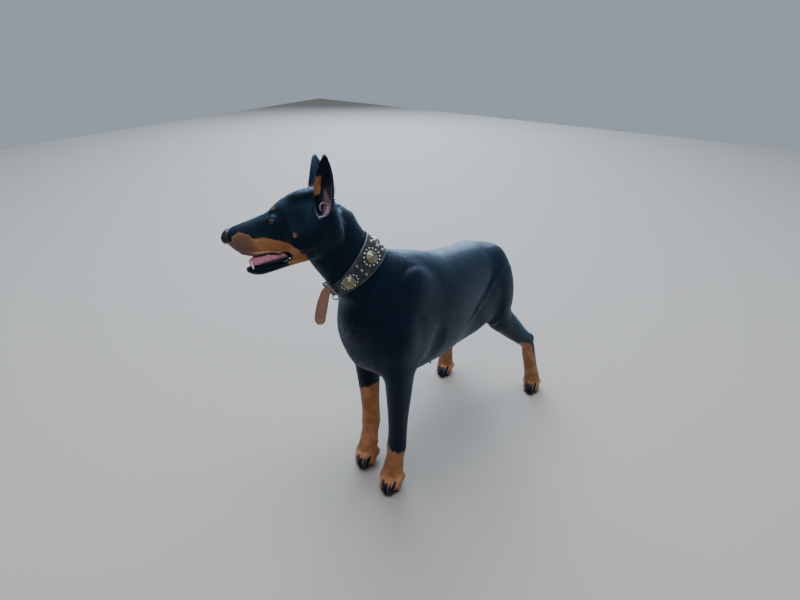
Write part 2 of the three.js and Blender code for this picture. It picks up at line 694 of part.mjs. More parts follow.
// The buckle is a frame of wire under the throat, and a small ring hangs beside it.
function buckleFrame() {
  const { wide, tall, wire } = BUCKLE;
  const shape = new THREE.Shape();
  const hole = new THREE.Path();
  const outline = (path, x, y) => path.moveTo(-x, -y).lineTo(x, -y).lineTo(x, y).lineTo(-x, y).closePath();
  outline(shape, tall / 2, wide / 2);
  outline(hole, tall / 2 - wire, wide / 2 - wire);
  shape.holes.push(hole);
  return new THREE.ExtrudeGeometry(shape, { depth: wire, bevelEnabled: false }).translate(0, 0, BUCKLE.stand);
}

// The loose end of the strap hangs from the buckle in front of the chest.
function strapEnd() {
  const { wide, thick, length, square, clear } = STRAP_END;
  const top = onCollar(BUCKLE.angle, BUCKLE.across, COLLAR.thick + BUCKLE.stand + thick + clear);
  const side = new THREE.Vector3().setFromMatrixColumn(HEAD_FRAME, 0).setZ(0).normalize();
  const rows = STRAP_ROWS.map(([down, ahead, aside, share]) => {
    const centre = top.clone().add(new THREE.Vector3(-ahead, aside, -down * length));
    return [...centre.toArray(), ...side.toArray(), share * wide, thick, thick, square];
  });
  return tube(rows, { sides: 8, steps: 2 });
}

const group = new THREE.Group();
function addMesh(name, solid, material) {
  const { vertProperties, triVerts, numProp } = largest(solid.simplify(FINENESS)).getMesh();
  const geometry = new THREE.BufferGeometry();
  const data = new THREE.InterleavedBuffer(Float32Array.from(vertProperties), numProp);
  geometry.setAttribute("position", new THREE.InterleavedBufferAttribute(data, 3, 0)).setIndex([...triVerts]);
  const mesh = new THREE.Mesh(geometry.toNonIndexed(), material);
  mesh.geometry.computeVertexNormals();
  mesh.name = name;
  group.add(mesh);
}

// The flesh: the legs and the tail are set into the trunk, and thin blades part the neck from it and from the head.
const floor = solidOf(
  new THREE.BoxGeometry(FLOOR_CUT.size, FLOOR_CUT.size, FLOOR_CUT.depth).translate(0, 0, -FLOOR_CUT.depth / 2),
);
const sections = (name) => (name.endsWith("fore") ? FORE : HIND);
const pawOf = (name) => (name.endsWith("fore") ? FORE_PAW : HIND_PAW);
const limb = (name, grow) => solidOf(tube(legRows(LEGS[name], sections(name)), { sides: 12, steps: 1, grow }));
const tailRows = TAIL.joints.map((at, k) => [...at, 0, -1, 0, TAIL.radius[k], TAIL.radius[k], TAIL.radius[k], 2]);
const tailTube = (grow) => solidOf(tube(tailRows, { sides: 10, steps: 2, grow }));

const tongue = (grow) => solidOf(tube(alongX(TONGUE), { sides: 12, steps: 1, grow, frame: HEAD_FRAME }));
const headRest = [
  tongue(GAP),
  solidOf(tube(alongX(JAW), { sides: 12, steps: 1, grow: GAP, frame: HEAD_FRAME })),
  solidOf(tube(alongX(PALATE), { sides: 10, steps: 1, frame: HEAD_FRAME })),
  solidOf(tube(alongX(NOSE), { sides: 12, steps: 1, grow: GAP, frame: HEAD_FRAME })),
];
const lids = [LEFT, RIGHT].map((side) => solidOf(lidRim(side)));
const skull = join([solidOf(tube(alongX(SKULL), { sides: 22, steps: 1, frame: HEAD_FRAME })), ...lids]);
const sockets = [LEFT, RIGHT].flatMap((side) => [
  solidOf(eyeball(side, GAP)),
  solidOf(eyeWindow(side)),
  solidOf(earCup(side, 2 * GAP)),
  solidOf(earHollow(side)),
]);

const flesh = join([
  solidOf(tube(alongX(TRUNK), { sides: 24, steps: 1, frame: TRUNK_FRAME })),
  ...[LEFT, RIGHT].map((side) => solidOf(tube(flankRows(side), { sides: 12, steps: 1 }))),
  solidOf(tube(neckLine, { sides: 20, steps: 2 })),
  skull,
]);
const parted = flesh.subtract(blade(NECK_CUT)).subtract(bladeInHead(THROAT_CUT)).decompose();
const pockets = [...Object.keys(LEGS).map((name) => limb(name, GAP)), tailTube(GAP)];
const carve = (solid, tools) => largest(tools.reduce((left, tool) => left.subtract(tool), solid));

addMesh("torso", carve(pieceAt(parted, [250, -40, 480]), pockets), COAT);
addMesh("neck", carve(pieceAt(parted, [-70, 26, 676]), [...pockets, ...sockets]), COAT);
const face = carve(pieceAt(parted, [-180, 95, 790]), [...headRest, ...sockets]);
addMesh("head", face.add(join(teeth(UPPER_TEETH))), COAT);

for (const [side, word] of [[LEFT, "left"], [RIGHT, "right"]]) {
  addMesh("ear_" + word, solidOf(earCup(side)), COAT);
  addMesh("eye_" + word, solidOf(eyeball(side)), EYE_GLOSS);
}

const nostrils = [LEFT, RIGHT].map((side) =>
  solidOf(ball([NOSTRIL.at[0], side * NOSTRIL.at[1], NOSTRIL.at[2]], NOSTRIL.radii, { frame: HEAD_FRAME })),
);
const muzzleEnd = solidOf(tube(alongX(NOSE), { sides: 12, steps: 1, frame: HEAD_FRAME }));
addMesh("nose", carve(muzzleEnd, nostrils), NOSE_LEATHER);
const jaw = join([solidOf(tube(alongX(JAW), { sides: 12, steps: 1, frame: HEAD_FRAME })), ...teeth(LOWER_TEETH)]);
addMesh("lower_jaw", carve(jaw, [tongue(GAP)]), COAT);
addMesh("tongue", tongue(0), FLESH);
addMesh("tail", tailTube(0), COAT);

// The dewclaw of a foreleg and the flesh it grows from, on the side toward the other leg.
function dewclaw({ joints }, inward) {
  const [, , , wrist, ankle] = joints.map(vector);
  const place = wrist.clone().lerp(ankle, (wrist.z - DEWCLAW.lift) / (wrist.z - ankle.z));
  const [ahead, aside, down] = DEWCLAW.heading;
  const root = place.clone().add(new THREE.Vector3(-DEWCLAW.ahead, inward * DEWCLAW.inward, 0));
  const heading = new THREE.Vector3(ahead, inward * aside, down).normalize();
  const { back, inward: near, lift, radii } = DEWCLAW_PAD;
  return {
    claw: { root, ahead: heading, left: new THREE.Vector3(0, -1, 0), size: DEWCLAW },
    flesh: ball([place.x + back, place.y + inward * near, place.z + lift], radii),
  };
}

for (const [name, leg] of Object.entries(LEGS)) {
  const toes = toesOf(leg, pawOf(name));
  const claws = toes.map((one) => {
    const root = one.root.clone().addScaledVector(one.ahead, one.reach + CLAW.ahead).setZ(CLAW.height);
    return { ...one, root, size: CLAW };
  });
  const extras = [];
  const [x, y, z] = leg.joints[3];
  if (name.endsWith("fore")) {
    const inner = dewclaw(leg, name.startsWith("left") ? 1 : -1);
    claws.push(inner.claw);
    extras.push(inner.flesh, ball([x + WRIST_PAD.back, y, z - WRIST_PAD.drop], WRIST_PAD.radii));
  } else {
    extras.push(ball([x + HEEL.back, y, z + HEEL.lift], HEEL.radii));
  }
  const flesh = join([limb(name, 0), ...toes.map((one) => solidOf(toe(one, pawOf(name)))), ...extras.map(solidOf)]);
  const clawSolids = (grow) => claws.map(({ size, ...one }) => solidOf(claw(one, size, grow)));
  addMesh(name + "_leg", carve(flesh, [floor, tailTube(GAP), ...clawSolids(GAP)]), COAT);
  clawSolids(0).forEach((solid, k) => addMesh(name + "_claw_" + (k + 1), largest(solid.subtract(floor)), HORN));
}

const seats = CONCHO.angles.map((degrees) => {
  const seat = new THREE.CylinderGeometry(CONCHO.radius + GAP, CONCHO.radius + GAP, CONCHO.radius, CONCHO.seatSides);
  return solidOf(setOnCollar(seat.translate(0, CONCHO.radius / 2, 0).rotateX(Math.PI / 2), degrees, 0.5));
});
addMesh("collar", carve(join([solidOf(collarBand()), ...collarStuds().map(solidOf)]), seats), LEATHER);
CONCHO.angles.forEach((degrees, k) => addMesh("concho_" + (k + 1), solidOf(setOnCollar(conchoShape(), degrees, 0.5)), BRONZE));
addMesh("buckle", solidOf(setOnCollar(buckleFrame(), BUCKLE.angle, 0.5)), STEEL);
addMesh("strap_end", solidOf(strapEnd()), TAN_LEATHER);

// The origin is on the floor under the middle of the whole.
const whole = new THREE.Box3().setFromObject(group);
const middle = whole.getCenter(new THREE.Vector3());
group.position.set(-middle.x, -middle.y, -whole.min.z);
const part = new THREE.Group();
part.add(group);
export default part;
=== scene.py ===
"""The looks of a life-size black and rust doberman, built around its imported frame."""

import logging
import math
from concurrent.futures import ThreadPoolExecutor
from dataclasses import dataclass, field
from enum import Enum
from itertools import product
from typing import Callable, Optional, Sequence

import bpy
import numpy as np
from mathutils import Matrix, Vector

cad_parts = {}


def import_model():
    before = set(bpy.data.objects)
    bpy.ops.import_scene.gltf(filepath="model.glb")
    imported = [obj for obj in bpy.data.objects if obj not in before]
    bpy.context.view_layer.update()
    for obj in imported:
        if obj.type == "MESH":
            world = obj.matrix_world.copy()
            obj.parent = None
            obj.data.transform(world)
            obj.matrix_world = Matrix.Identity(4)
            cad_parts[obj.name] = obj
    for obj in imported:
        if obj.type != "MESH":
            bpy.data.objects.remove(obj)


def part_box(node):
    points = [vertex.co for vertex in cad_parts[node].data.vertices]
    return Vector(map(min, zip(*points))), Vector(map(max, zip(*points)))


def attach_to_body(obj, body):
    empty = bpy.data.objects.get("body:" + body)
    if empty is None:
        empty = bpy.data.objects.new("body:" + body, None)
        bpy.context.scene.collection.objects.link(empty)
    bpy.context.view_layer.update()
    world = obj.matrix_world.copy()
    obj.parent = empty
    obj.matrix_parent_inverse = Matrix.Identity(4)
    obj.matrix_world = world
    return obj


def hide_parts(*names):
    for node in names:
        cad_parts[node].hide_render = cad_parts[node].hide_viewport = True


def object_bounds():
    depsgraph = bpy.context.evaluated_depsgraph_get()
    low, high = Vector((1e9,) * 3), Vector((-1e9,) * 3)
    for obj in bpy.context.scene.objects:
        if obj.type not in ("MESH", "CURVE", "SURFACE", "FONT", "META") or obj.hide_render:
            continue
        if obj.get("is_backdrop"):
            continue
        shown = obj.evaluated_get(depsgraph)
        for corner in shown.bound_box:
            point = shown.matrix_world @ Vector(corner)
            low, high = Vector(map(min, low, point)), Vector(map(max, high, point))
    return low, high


LOG = logging.getLogger("doberman")
Array = np.ndarray

# Frames

LEFT = 1
RIGHT = -1
SIDES = (LEFT, RIGHT)
MM = 0.001


@dataclass(frozen=True)
class Frame:
    """A place with its own axes, in millimetres: x forward, y to the left, z up."""

    at: tuple[float, float, float]
    yaw: float
    pitch: float
    roll: float

    def axes(self) -> Array:
        """Gives the three axes.

        Returns:
            The axes as the rows of a matrix.
        """
        turn, rise, tilt = (math.radians(v) for v in (self.yaw, self.pitch, self.roll))
        forward = np.array(
            [-math.cos(turn) * math.cos(rise), math.sin(turn) * math.cos(rise), math.sin(rise)]
        )
        level = np.cross([0, 0, 1], forward)
        level /= np.linalg.norm(level)
        left = level * math.cos(tilt) + np.cross(forward, level) * math.sin(tilt)
        return np.array([forward, left, np.cross(forward, left)])

    def out(self, local: Array) -> Array:
        """Takes points of this frame to the dog's frame."""
        return np.asarray(local, float) @ self.axes() + np.array(self.at)

    def into(self, points: Array) -> Array:
        """Takes points of the dog's frame to this frame."""
        return (np.asarray(points, float) - np.array(self.at)) @ self.axes().T


WITHERS = Frame((88, -16, 662), 1, 3.8, 0)
HEAD = Frame((-166, 82, 800), 41, -17, 17)
# the plane of the trunk's middle, across the dog's own frame
MIDLINE = -16


# Sizes shared with the solids, in millimetres

TRUNK_ROWS = [
    (-500, -118, -152, 10, -135, 2), (-484, -90, -196, 44, -140, 2), (-440, -70, -240, 72, -146, 2),
    (-385, -60, -274, 84, -150, 2.1), (-325, -55, -307, 91, -162, 2.2), (-265, -49, -328, 100, -176, 2.2),
    (-205, -43, -342, 108, -186, 2.2), (-140, -36, -349, 114, -192, 2.2), (-70, -16, -351, 114, -194, 2.1),
    (0, 0, -347, 108, -196, 2.1), (72, -4, -328, 102, -184, 2), (122, -26, -286, 92, -166, 2),
    (160, -62, -240, 72, -150, 2), (184, -112, -190, 34, -150, 2), (190, -136, -168, 12, -152, 2),
]
FLANK_ROWS = [
    (286, 52, 372, 14, 26, 30), (330, 74, 386, 22, 40, 42),
    (376, 88, 404, 26, 50, 48), (430, 92, 424, 24, 50, 46),
]
FLANK_MIDDLE = -20
NECK_ROWS = [
    (62, -16, 540, 0, 70, 84, 92), (18, -13, 574, 0, 76, 92, 100), (-20, -6, 610, 0.1, 73, 88, 94),
    (-46, 7, 640, 0.25, 65, 80, 82), (-70, 26, 676, 0.45, 58, 74, 76), (-90, 48, 712, 0.7, 55, 77, 72),
    (-108, 64, 748, 0.9, 54, 80, 68), (-124, 70, 778, 1, 50, 66, 56),
]
SKULL_ROWS = [
    (-84, 14, -52, 20, -18, 2), (-74, 33, -80, 42, -16, 2), (-52, 45, -98, 54, -14, 2.1),
    (-26, 50.5, -104, 59, -16, 2.1), (4, 52.5, -103, 60, -20, 2.2), (28, 49, -100, 57, -24, 2.3),
    (44, 44, -94, 50, -26, 2.3), (58, 37, -84, 43, -26, 2.3), (70, 33, -72, 38, -24, 2.4),
    (84, 31, -62, 35, -22, 2.5), (104, 29.5, -57, 32, -20, 2.5), (124, 29, -55, 30, -18, 2.5),
    (142, 28.5, -49, 28, -14, 2.5), (156, 27.5, -37, 25, -8, 2.4), (168, 25, -22, 20, 0, 2.2),
    (176, 18, -8, 12, 5, 2),
]
NOSE_ROWS = [
    (160, 27.5, -4, 14, 12, 2.3), (168, 27.5, -5, 17.5, 12, 2.3), (176, 24, -5, 17, 11, 2.3),
    (182, 19, -3, 12.5, 9, 2.2), (186, 13, 2, 6, 8, 2),
]
JAW_ROWS = [
    (8, -78, -102, 30, -90, 2), (34, -82, -102, 36, -91, 2.2), (66, -84, -100, 32, -91, 2.4),
    (98, -80, -99, 27, -89, 2.5), (128, -75, -97, 22.5, -86, 2.5), (148, -70, -90, 17, -80, 2.4),
    (158, -70, -82, 9, -76, 2),
]
TONGUE_ROWS = [
    (46, -62, -84, 12, -76, 2), (62, -53, -82, 21, -70, 2.3), (90, -47, -80, 23, -66, 2.4),
    (116, -48, -78, 22, -64, 2.4), (131, -50, -80, 18, -65, 2.4),
    (142, -54, -80, 11.5, -67, 2.3), (150, -57, -79, 11, -68, 2.2), (158, -63, -77, 8, -70, 2),
]
PALATE_ROWS = [
    (46, -66, -100, 10, -80, 2), (62, -52, -92, 24, -74, 2.4), (90, -42, -80, 25, -62, 2.5),
    (120, -40, -78, 22, -60, 2.5), (140, -36, -70, 17, -54, 2.4), (151, -36, -60, 8, -50, 2),
]
EYE_AT = (60.0, 30.5, 9.0)
EYE_LOOK = (0.62, 0.76, 0.08)
EYE_RADIUS = 11.5
EAR_ROWS = [
    (-47, 44, -26, 12, 9, 5, 0.25), (-53, 46, -10, 21, 16, 5, 0.28), (-60, 47, 12, 26, 20, 5, 0.34),
    (-68, 48, 34, 27, 19, 4.6, 0.4), (-77, 50, 56, 24, 15, 4.2, 0.44), (-85, 53, 76, 18.5, 11, 3.8, 0.47),
    (-91, 56, 92, 12, 7, 3.4, 0.49), (-95, 58, 101, 6.5, 4, 3, 0.5), (-96.5, 58.5, 105, 2.5, 2, 3, 0.5),
]
RIGHT_EAR = (0.13, 1.08, 5)
LEG_JOINTS = {
    "left_fore": (
        [(62, -60, 596), (-10, -88, 480), (-6, -85, 366), (1, -68, 124), (-14, -63, 38), (-32, -60, -3)],
        3, 24
    ),
    "right_fore": (
        [(76, 36, 596), (28, 78, 480), (60, 78, 366), (55, 66, 124), (32, 64, 38), (10, 62, -3)], -4, 24
    ),
    "left_hind": (
        [
            (488, -48, 552), (498, -80, 470), (462, -112, 352),
            (634, -142, 198), (684, -150, 38), (678, -151, -3)
        ],
        2, 22
    ),
    "right_hind": (
        [(482, 16, 552), (478, 58, 470), (440, 104, 342), (596, 148, 176), (600, 157, 38), (586, 157, -3)],
        -6, 20
    ),
}
FORE_ROWS = [
    (0, 14, 22, 22, 0), (0.12, 26, 38, 40, 0), (0.5, 34, 54, 62, 0), (1, 38, 56, 74, 0), (1.5, 38, 56, 64, 0),
    (1.88, 37, 54, 46, 0), (2.06, 35, 50, 38, 0), (2.3, 31, 40, 33, 0), (2.6, 26, 31, 28, 0),
    (2.85, 25, 26, 26, 0), (3, 27, 27, 27, 2), (3.35, 24.5, 23, 24, 0), (3.75, 28, 24, 26, 0),
    (4.15, 31, 26, 31, 0), (4.7, 30, 23, 28, 0), (5, 24, 16, 22, 0),
]
HIND_ROWS = [
    (0, 24, 36, 34, 0), (0.15, 38, 56, 50, 0), (0.8, 48, 82, 64, 0),
    (1.3, 48, 74, 74, 0), (1.65, 43, 58, 70, 0),
    (1.95, 38, 44, 55, 0), (2.2, 32, 35, 46, 0),
    (2.5, 26, 30, 36, 0), (2.78, 21, 25, 26, 0), (3, 20, 24, 24, 0),
    (3.3, 21, 23, 25, 0), (3.65, 21, 23, 24, 0), (3.88, 25, 24, 25, 0), (4.2, 28, 24, 28, 0),
    (4.7, 27, 22, 26, 0), (5, 21, 15, 20, 0),
]
FORE_TOES = [(24, 30, -12), (8.5, 45, -4), (-8.5, 45, 4), (-24, 30, 12)]
HIND_TOES = [(20, 27, -10), (7, 41, -4), (-7, 41, 4), (-20, 27, 10)]
# the fold of skin from the hip to the flank on the left side: places on the flesh
FLANK_FOLD = [
    (496, -105, 524), (454, -110, 504), (401, -112, 479),
    (358, -117, 452), (317, -122, 440), (268, -124, 418)
]
TAIL_POINTS = [
    (524, -20, 520), (566, -24, 508), (592, -32, 468), (602, -40, 410), (598, -46, 346), (582, -50, 286)
]
TAIL_RADII = [22, 20, 17, 14, 11, 7]
# how far from a leg's line a point may be and still belong to the leg
LEG_REACH = 75
# how far the cut across the neck, under the collar, reaches from the neck's middle
NECK_CUT_REACH = 140


# Smooth rows


def smooth_rows(rows: Sequence[Sequence[float]], places: Array) -> Array:
    """Draws a smooth curve through rows of numbers.

    Args:
        rows: the rows, one after another.
        places: where to read them, counted in rows.

    Returns:
        One row of numbers for each place.
    """
    table = np.asarray(rows, float)
    places = np.asarray(places, float)
    last = len(table) - 1
    i = np.clip(np.floor(places).astype(int), 0, last - 1)
    f = (places - i)[:, None]
    a, b, c, d = (table[np.clip(i + k, 0, last)] for k in (-1, 0, 1, 2))
    return 0.5 * (2 * b + (c - a) * f + (2 * a - 5 * b + 4 * c - d) * f**2 + (3 * b - a - 3 * c + d) * f**3)


def unit(vectors: Array) -> Array:
    """Gives vectors of length one."""
    return vectors / np.maximum(np.linalg.norm(vectors, axis=-1, keepdims=True), 1e-9)


def step(low: float, high: float, values: Array) -> Array:
    """Rises smoothly from 0 to 1 as values pass from low to high (or from high to low)."""
    t = np.clip((values - low) / (high - low), 0, 1)
    return t * t * (3 - 2 * t)


def line_height(points: Sequence[tuple[float, float]], x: Array) -> Array:
    """Reads a line through points, given from the lowest x to the highest."""
    xs, ys = zip(*points)
    return np.interp(x, xs, ys)


# Solid forms as distances from their surfaces


class Form:
    """A form given by the distance from its surface: negative inside, in millimetres."""

    def box(self) -> tuple[Array, Array]:
        """Gives the lowest and highest corners of the form."""
        raise NotImplementedError

    def distance(self, p: Array) -> Array:
        """Gives the distance of each point from the surface."""
        raise NotImplementedError


def turned_box(low: Array, high: Array, turn: Callable[[Array], Array]) -> tuple[Array, Array]:
    """Gives the box round a box that is taken to another frame.

    Args:
        low: the box's lowest corner.
        high: its highest corner.
        turn: takes points to the other frame.

    Returns:
        The lowest and highest corners in that frame.
    """
    turned = turn(np.array(list(product(*zip(low, high)))))
    return turned.min(0), turned.max(0)


def oval_distance(y: Array, z: Array, wide: Array, over: Array, under: Array, square: Array) -> Array:
    """Gives the distance from an oval whose upper and lower halves may differ.

    Args:
        y: place across the oval.
        z: place up the oval.
        wide: half its width.
        over: its reach upward.
        under: its reach downward.
        square: 2 for an ellipse, more for squarer sides.

    Returns:
        The distance of each place, less than nought inside.
    """
    tall = np.where(z > 0, over, under)
    ay = np.abs(y) / wide + 1e-6
    az = np.abs(z) / tall + 1e-6
    whole = (ay**square + az**square) ** (1 / square)
    slope = (
        whole ** (1 - square)
        * np.sqrt((ay ** (square - 1) / wide) ** 2 + (az ** (square - 1) / tall) ** 2)
    )
    return (whole - 1) / slope


@dataclass
class Ball(Form):
    """A ball stretched along its own axes, whose axes may be turned."""

    at: tuple[float, float, float]
    radii: tuple[float, float, float]
    lean: tuple[float, float, float] = (0, 0, 0)

    def _turn(self) -> Array:
        """Gives the ball's axes, from its lean about x, y and z in degrees.

        Returns:
            The axes as the rows of a matrix.
        """
        a, b, c = (math.radians(v) for v in self.lean)
        rx = np.array([[1, 0, 0], [0, math.cos(a), -math.sin(a)], [0, math.sin(a), math.cos(a)]])
        ry = np.array([[math.cos(b), 0, math.sin(b)], [0, 1, 0], [-math.sin(b), 0, math.cos(b)]])
        rz = np.array([[math.cos(c), -math.sin(c), 0], [math.sin(c), math.cos(c), 0], [0, 0, 1]])
        return (rz @ ry @ rx).T

    def box(self) -> tuple[Array, Array]:
        """Gives a box that holds the ball however it is turned."""
        reach = max(self.radii) if any(self.lean) else np.array(self.radii)
        return np.array(self.at) - reach, np.array(self.at) + reach

    def distance(self, p: Array) -> Array:
        """Gives the distance of each point from the ball.

        Args:
            p: points.

        Returns:
            The distance, nearly true close to the ball.
        """
        q = (p - np.array(self.at)) @ self._turn().T
        r = np.array(self.radii, float)
        k1 = np.linalg.norm(q / r, axis=-1)
        k2 = np.linalg.norm(q / (r * r), axis=-1)
        return k1 * (k1 - 1) / np.maximum(k2, 1e-6)


@dataclass
class Rod(Form):
    """A round rod along a chain of points, with a radius at each."""

    points: Sequence[tuple[float, float, float]]
    radii: Sequence[float]

    def box(self) -> tuple[Array, Array]:
        """Gives the rod's box."""
        pts = np.array(self.points, float)
        return pts.min(0) - max(self.radii), pts.max(0) + max(self.radii)

    def distance(self, p: Array) -> Array:
        """Gives the distance of each point from the rod.

        Args:
            p: points.

        Returns:
            The distance from the nearest stretch of the rod.
        """
        best = np.full(p.shape[:-1], 1e9)
        for a, b, ra, rb in zip(self.points[:-1], self.points[1:], self.radii[:-1], self.radii[1:]):
            start = np.array(a, float)
            way = np.array(b, float) - start
            t = np.clip(((p - start) @ way) / (way @ way), 0, 1)
            gap = np.linalg.norm(p - start - t[..., None] * way, axis=-1)
            best = np.minimum(best, gap - (ra + (rb - ra) * t))
        return best


@dataclass
class Loft(Form):
    """Ovals along the x axis of a frame.

    Each row holds x, top, bottom, half width, level of the greatest width and squareness.
    """

    rows: Sequence[Sequence[float]]
    frame: Optional[Frame] = None
    _fine: Array = field(init=False, repr=False)

    def __post_init__(self) -> None:
        """Reads the rows finely, from the back to the front."""
        fine = smooth_rows(self.rows, np.linspace(0, len(self.rows) - 1, 12 * len(self.rows)))
        self._fine = fine[np.argsort(fine[:, 0])]

    def box(self) -> tuple[Array, Array]:
        """Gives the loft's box.

        Returns:
            Its lowest and highest corners.
        """
        f = self._fine
        low = np.array([f[:, 0].min(), -f[:, 3].max(), f[:, 2].min()])
        high = np.array([f[:, 0].max(), f[:, 3].max(), f[:, 1].max()])
        if self.frame is None:
            return low, high
        return turned_box(low, high, self.frame.out)

    def distance(self, p: Array) -> Array:
        """Gives the distance of each point from the loft.

        Args:
            p: points, in the frame that the loft's own frame stands in.

        Returns:
            The distance across the loft, or from its nearer end.
        """
        q = self.frame.into(p) if self.frame else p
        x = q[..., 0]
        f = self._fine
        top, bottom, wide, level, square = (np.interp(x, f[:, 0], f[:, k]) for k in range(1, 6))
        across = oval_distance(q[..., 1], q[..., 2] - level, wide, top - level, level - bottom, square)
        beyond = np.maximum(np.maximum(f[0, 0] - x, x - f[-1, 0]), 0)
        return np.where(beyond > 0, np.hypot(np.maximum(across, 0), beyond), across)


@dataclass
class Limb(Form):
    """Ovals along a bent line.

    Each row holds the centre, the direction of the width, half width, over, under and squareness.
    """

    rows: Sequence[Sequence[float]]
    per_row: int = 4
    _line: Array = field(init=False, repr=False)
    _side: Array = field(init=False, repr=False)
    _over: Array = field(init=False, repr=False)
    _size: Array = field(init=False, repr=False)

    def __post_init__(self) -> None:
        """Reads the rows finely and finds the axes of each oval."""
        places = np.linspace(0, len(self.rows) - 1, self.per_row * (len(self.rows) - 1) + 1)
        fine = smooth_rows(self.rows, places)
        self._line = fine[:, :3]
        along = unit(np.gradient(self._line, axis=0))
        side = fine[:, 3:6] - along * np.sum(fine[:, 3:6] * along, axis=1, keepdims=True)
        self._side = unit(side)
        self._over = np.cross(along, self._side)
        self._size = fine[:, 6:]

    def box(self) -> tuple[Array, Array]:
        """Gives the limb's box."""
        reach = self._size[:, :3].max(axis=1, keepdims=True)
        return (self._line - reach).min(0), (self._line + reach).max(0)

    def place(self, p: Array) -> tuple[Array, Array]:
        """Finds where points are along the line.

        Args:
            p: points.

        Returns:
            The nearest place along the line, counted in fine steps, and how far beyond the ends.
        """
        flat = p.reshape(-1, 3)
        near = ((self._line**2).sum(1) - 2 * flat @ self._line.T).argmin(1)
        way = np.gradient(self._line, axis=0)
        long = np.linalg.norm(way, axis=1)
        ahead = np.einsum("ij,ij->i", flat - self._line[near], way[near]) / long[near] ** 2
        last = len(self._line) - 1
        place = np.clip(near + np.clip(ahead, -0.5, 0.5), 0, last)
        ends = np.where(near == 0, -ahead, 0) + np.where(near == last, ahead, 0)
        return place.reshape(p.shape[:-1]), (np.maximum(ends, 0) * long[near]).reshape(p.shape[:-1])

    def read(self, place: Array) -> tuple[Array, ...]:
        """Reads the limb.

        Args:
            place: places along the line, counted in fine steps.

        Returns:
            The line's points, the two directions across it and the ovals' sizes.
        """
        i = np.clip(np.floor(place).astype(int), 0, len(self._line) - 2)
        f = (place - i)[..., None]
        table = np.hstack([self._line, self._side, self._over, self._size])
        found = table[i] * (1 - f) + table[i + 1] * f
        return found[..., :3], unit(found[..., 3:6]), unit(found[..., 6:9]), found[..., 9:]

    def distance(self, p: Array) -> Array:
        """Gives the distance of each point from the limb.

        Args:
            p: points.

        Returns:
            The distance across the limb, or from its nearer end.
        """
        place, beyond = self.place(p)
        centre, side, above, size = self.read(place)
        off = p - centre
        y = np.einsum("...i,...i", off, side)
        z = np.einsum("...i,...i", off, above)
        across = oval_distance(y, z, *np.moveaxis(size, -1, 0))
        return np.where(beyond > 0, np.hypot(np.maximum(across, 0), beyond), across)


@dataclass
class Moved(Form):
    """A form of the dog's frame, seen from another frame."""

    form: Form
    frame: Frame

    def box(self) -> tuple[Array, Array]:
        """Gives the form's box in the other frame."""
        return turned_box(*self.form.box(), self.frame.into)

    def distance(self, p: Array) -> Array:
        """Gives the distance of each point from the form."""
        return self.form.distance(self.frame.out(p))


@dataclass
class Custom(Form):
    """A form with a distance function of its own."""

    low: tuple[float, float, float]
    high: tuple[float, float, float]
    rule: Callable[[Array], Array]

    def box(self) -> tuple[Array, Array]:
        """Gives the form's box."""
        return np.array(self.low, float), np.array(self.high, float)

    def distance(self, p: Array) -> Array:
        """Gives the distance of each point from the form."""
        return self.rule(p)


class Join(Enum):
    """How a form is worked into the clay."""

    ADD = "add"
    CUT = "cut"


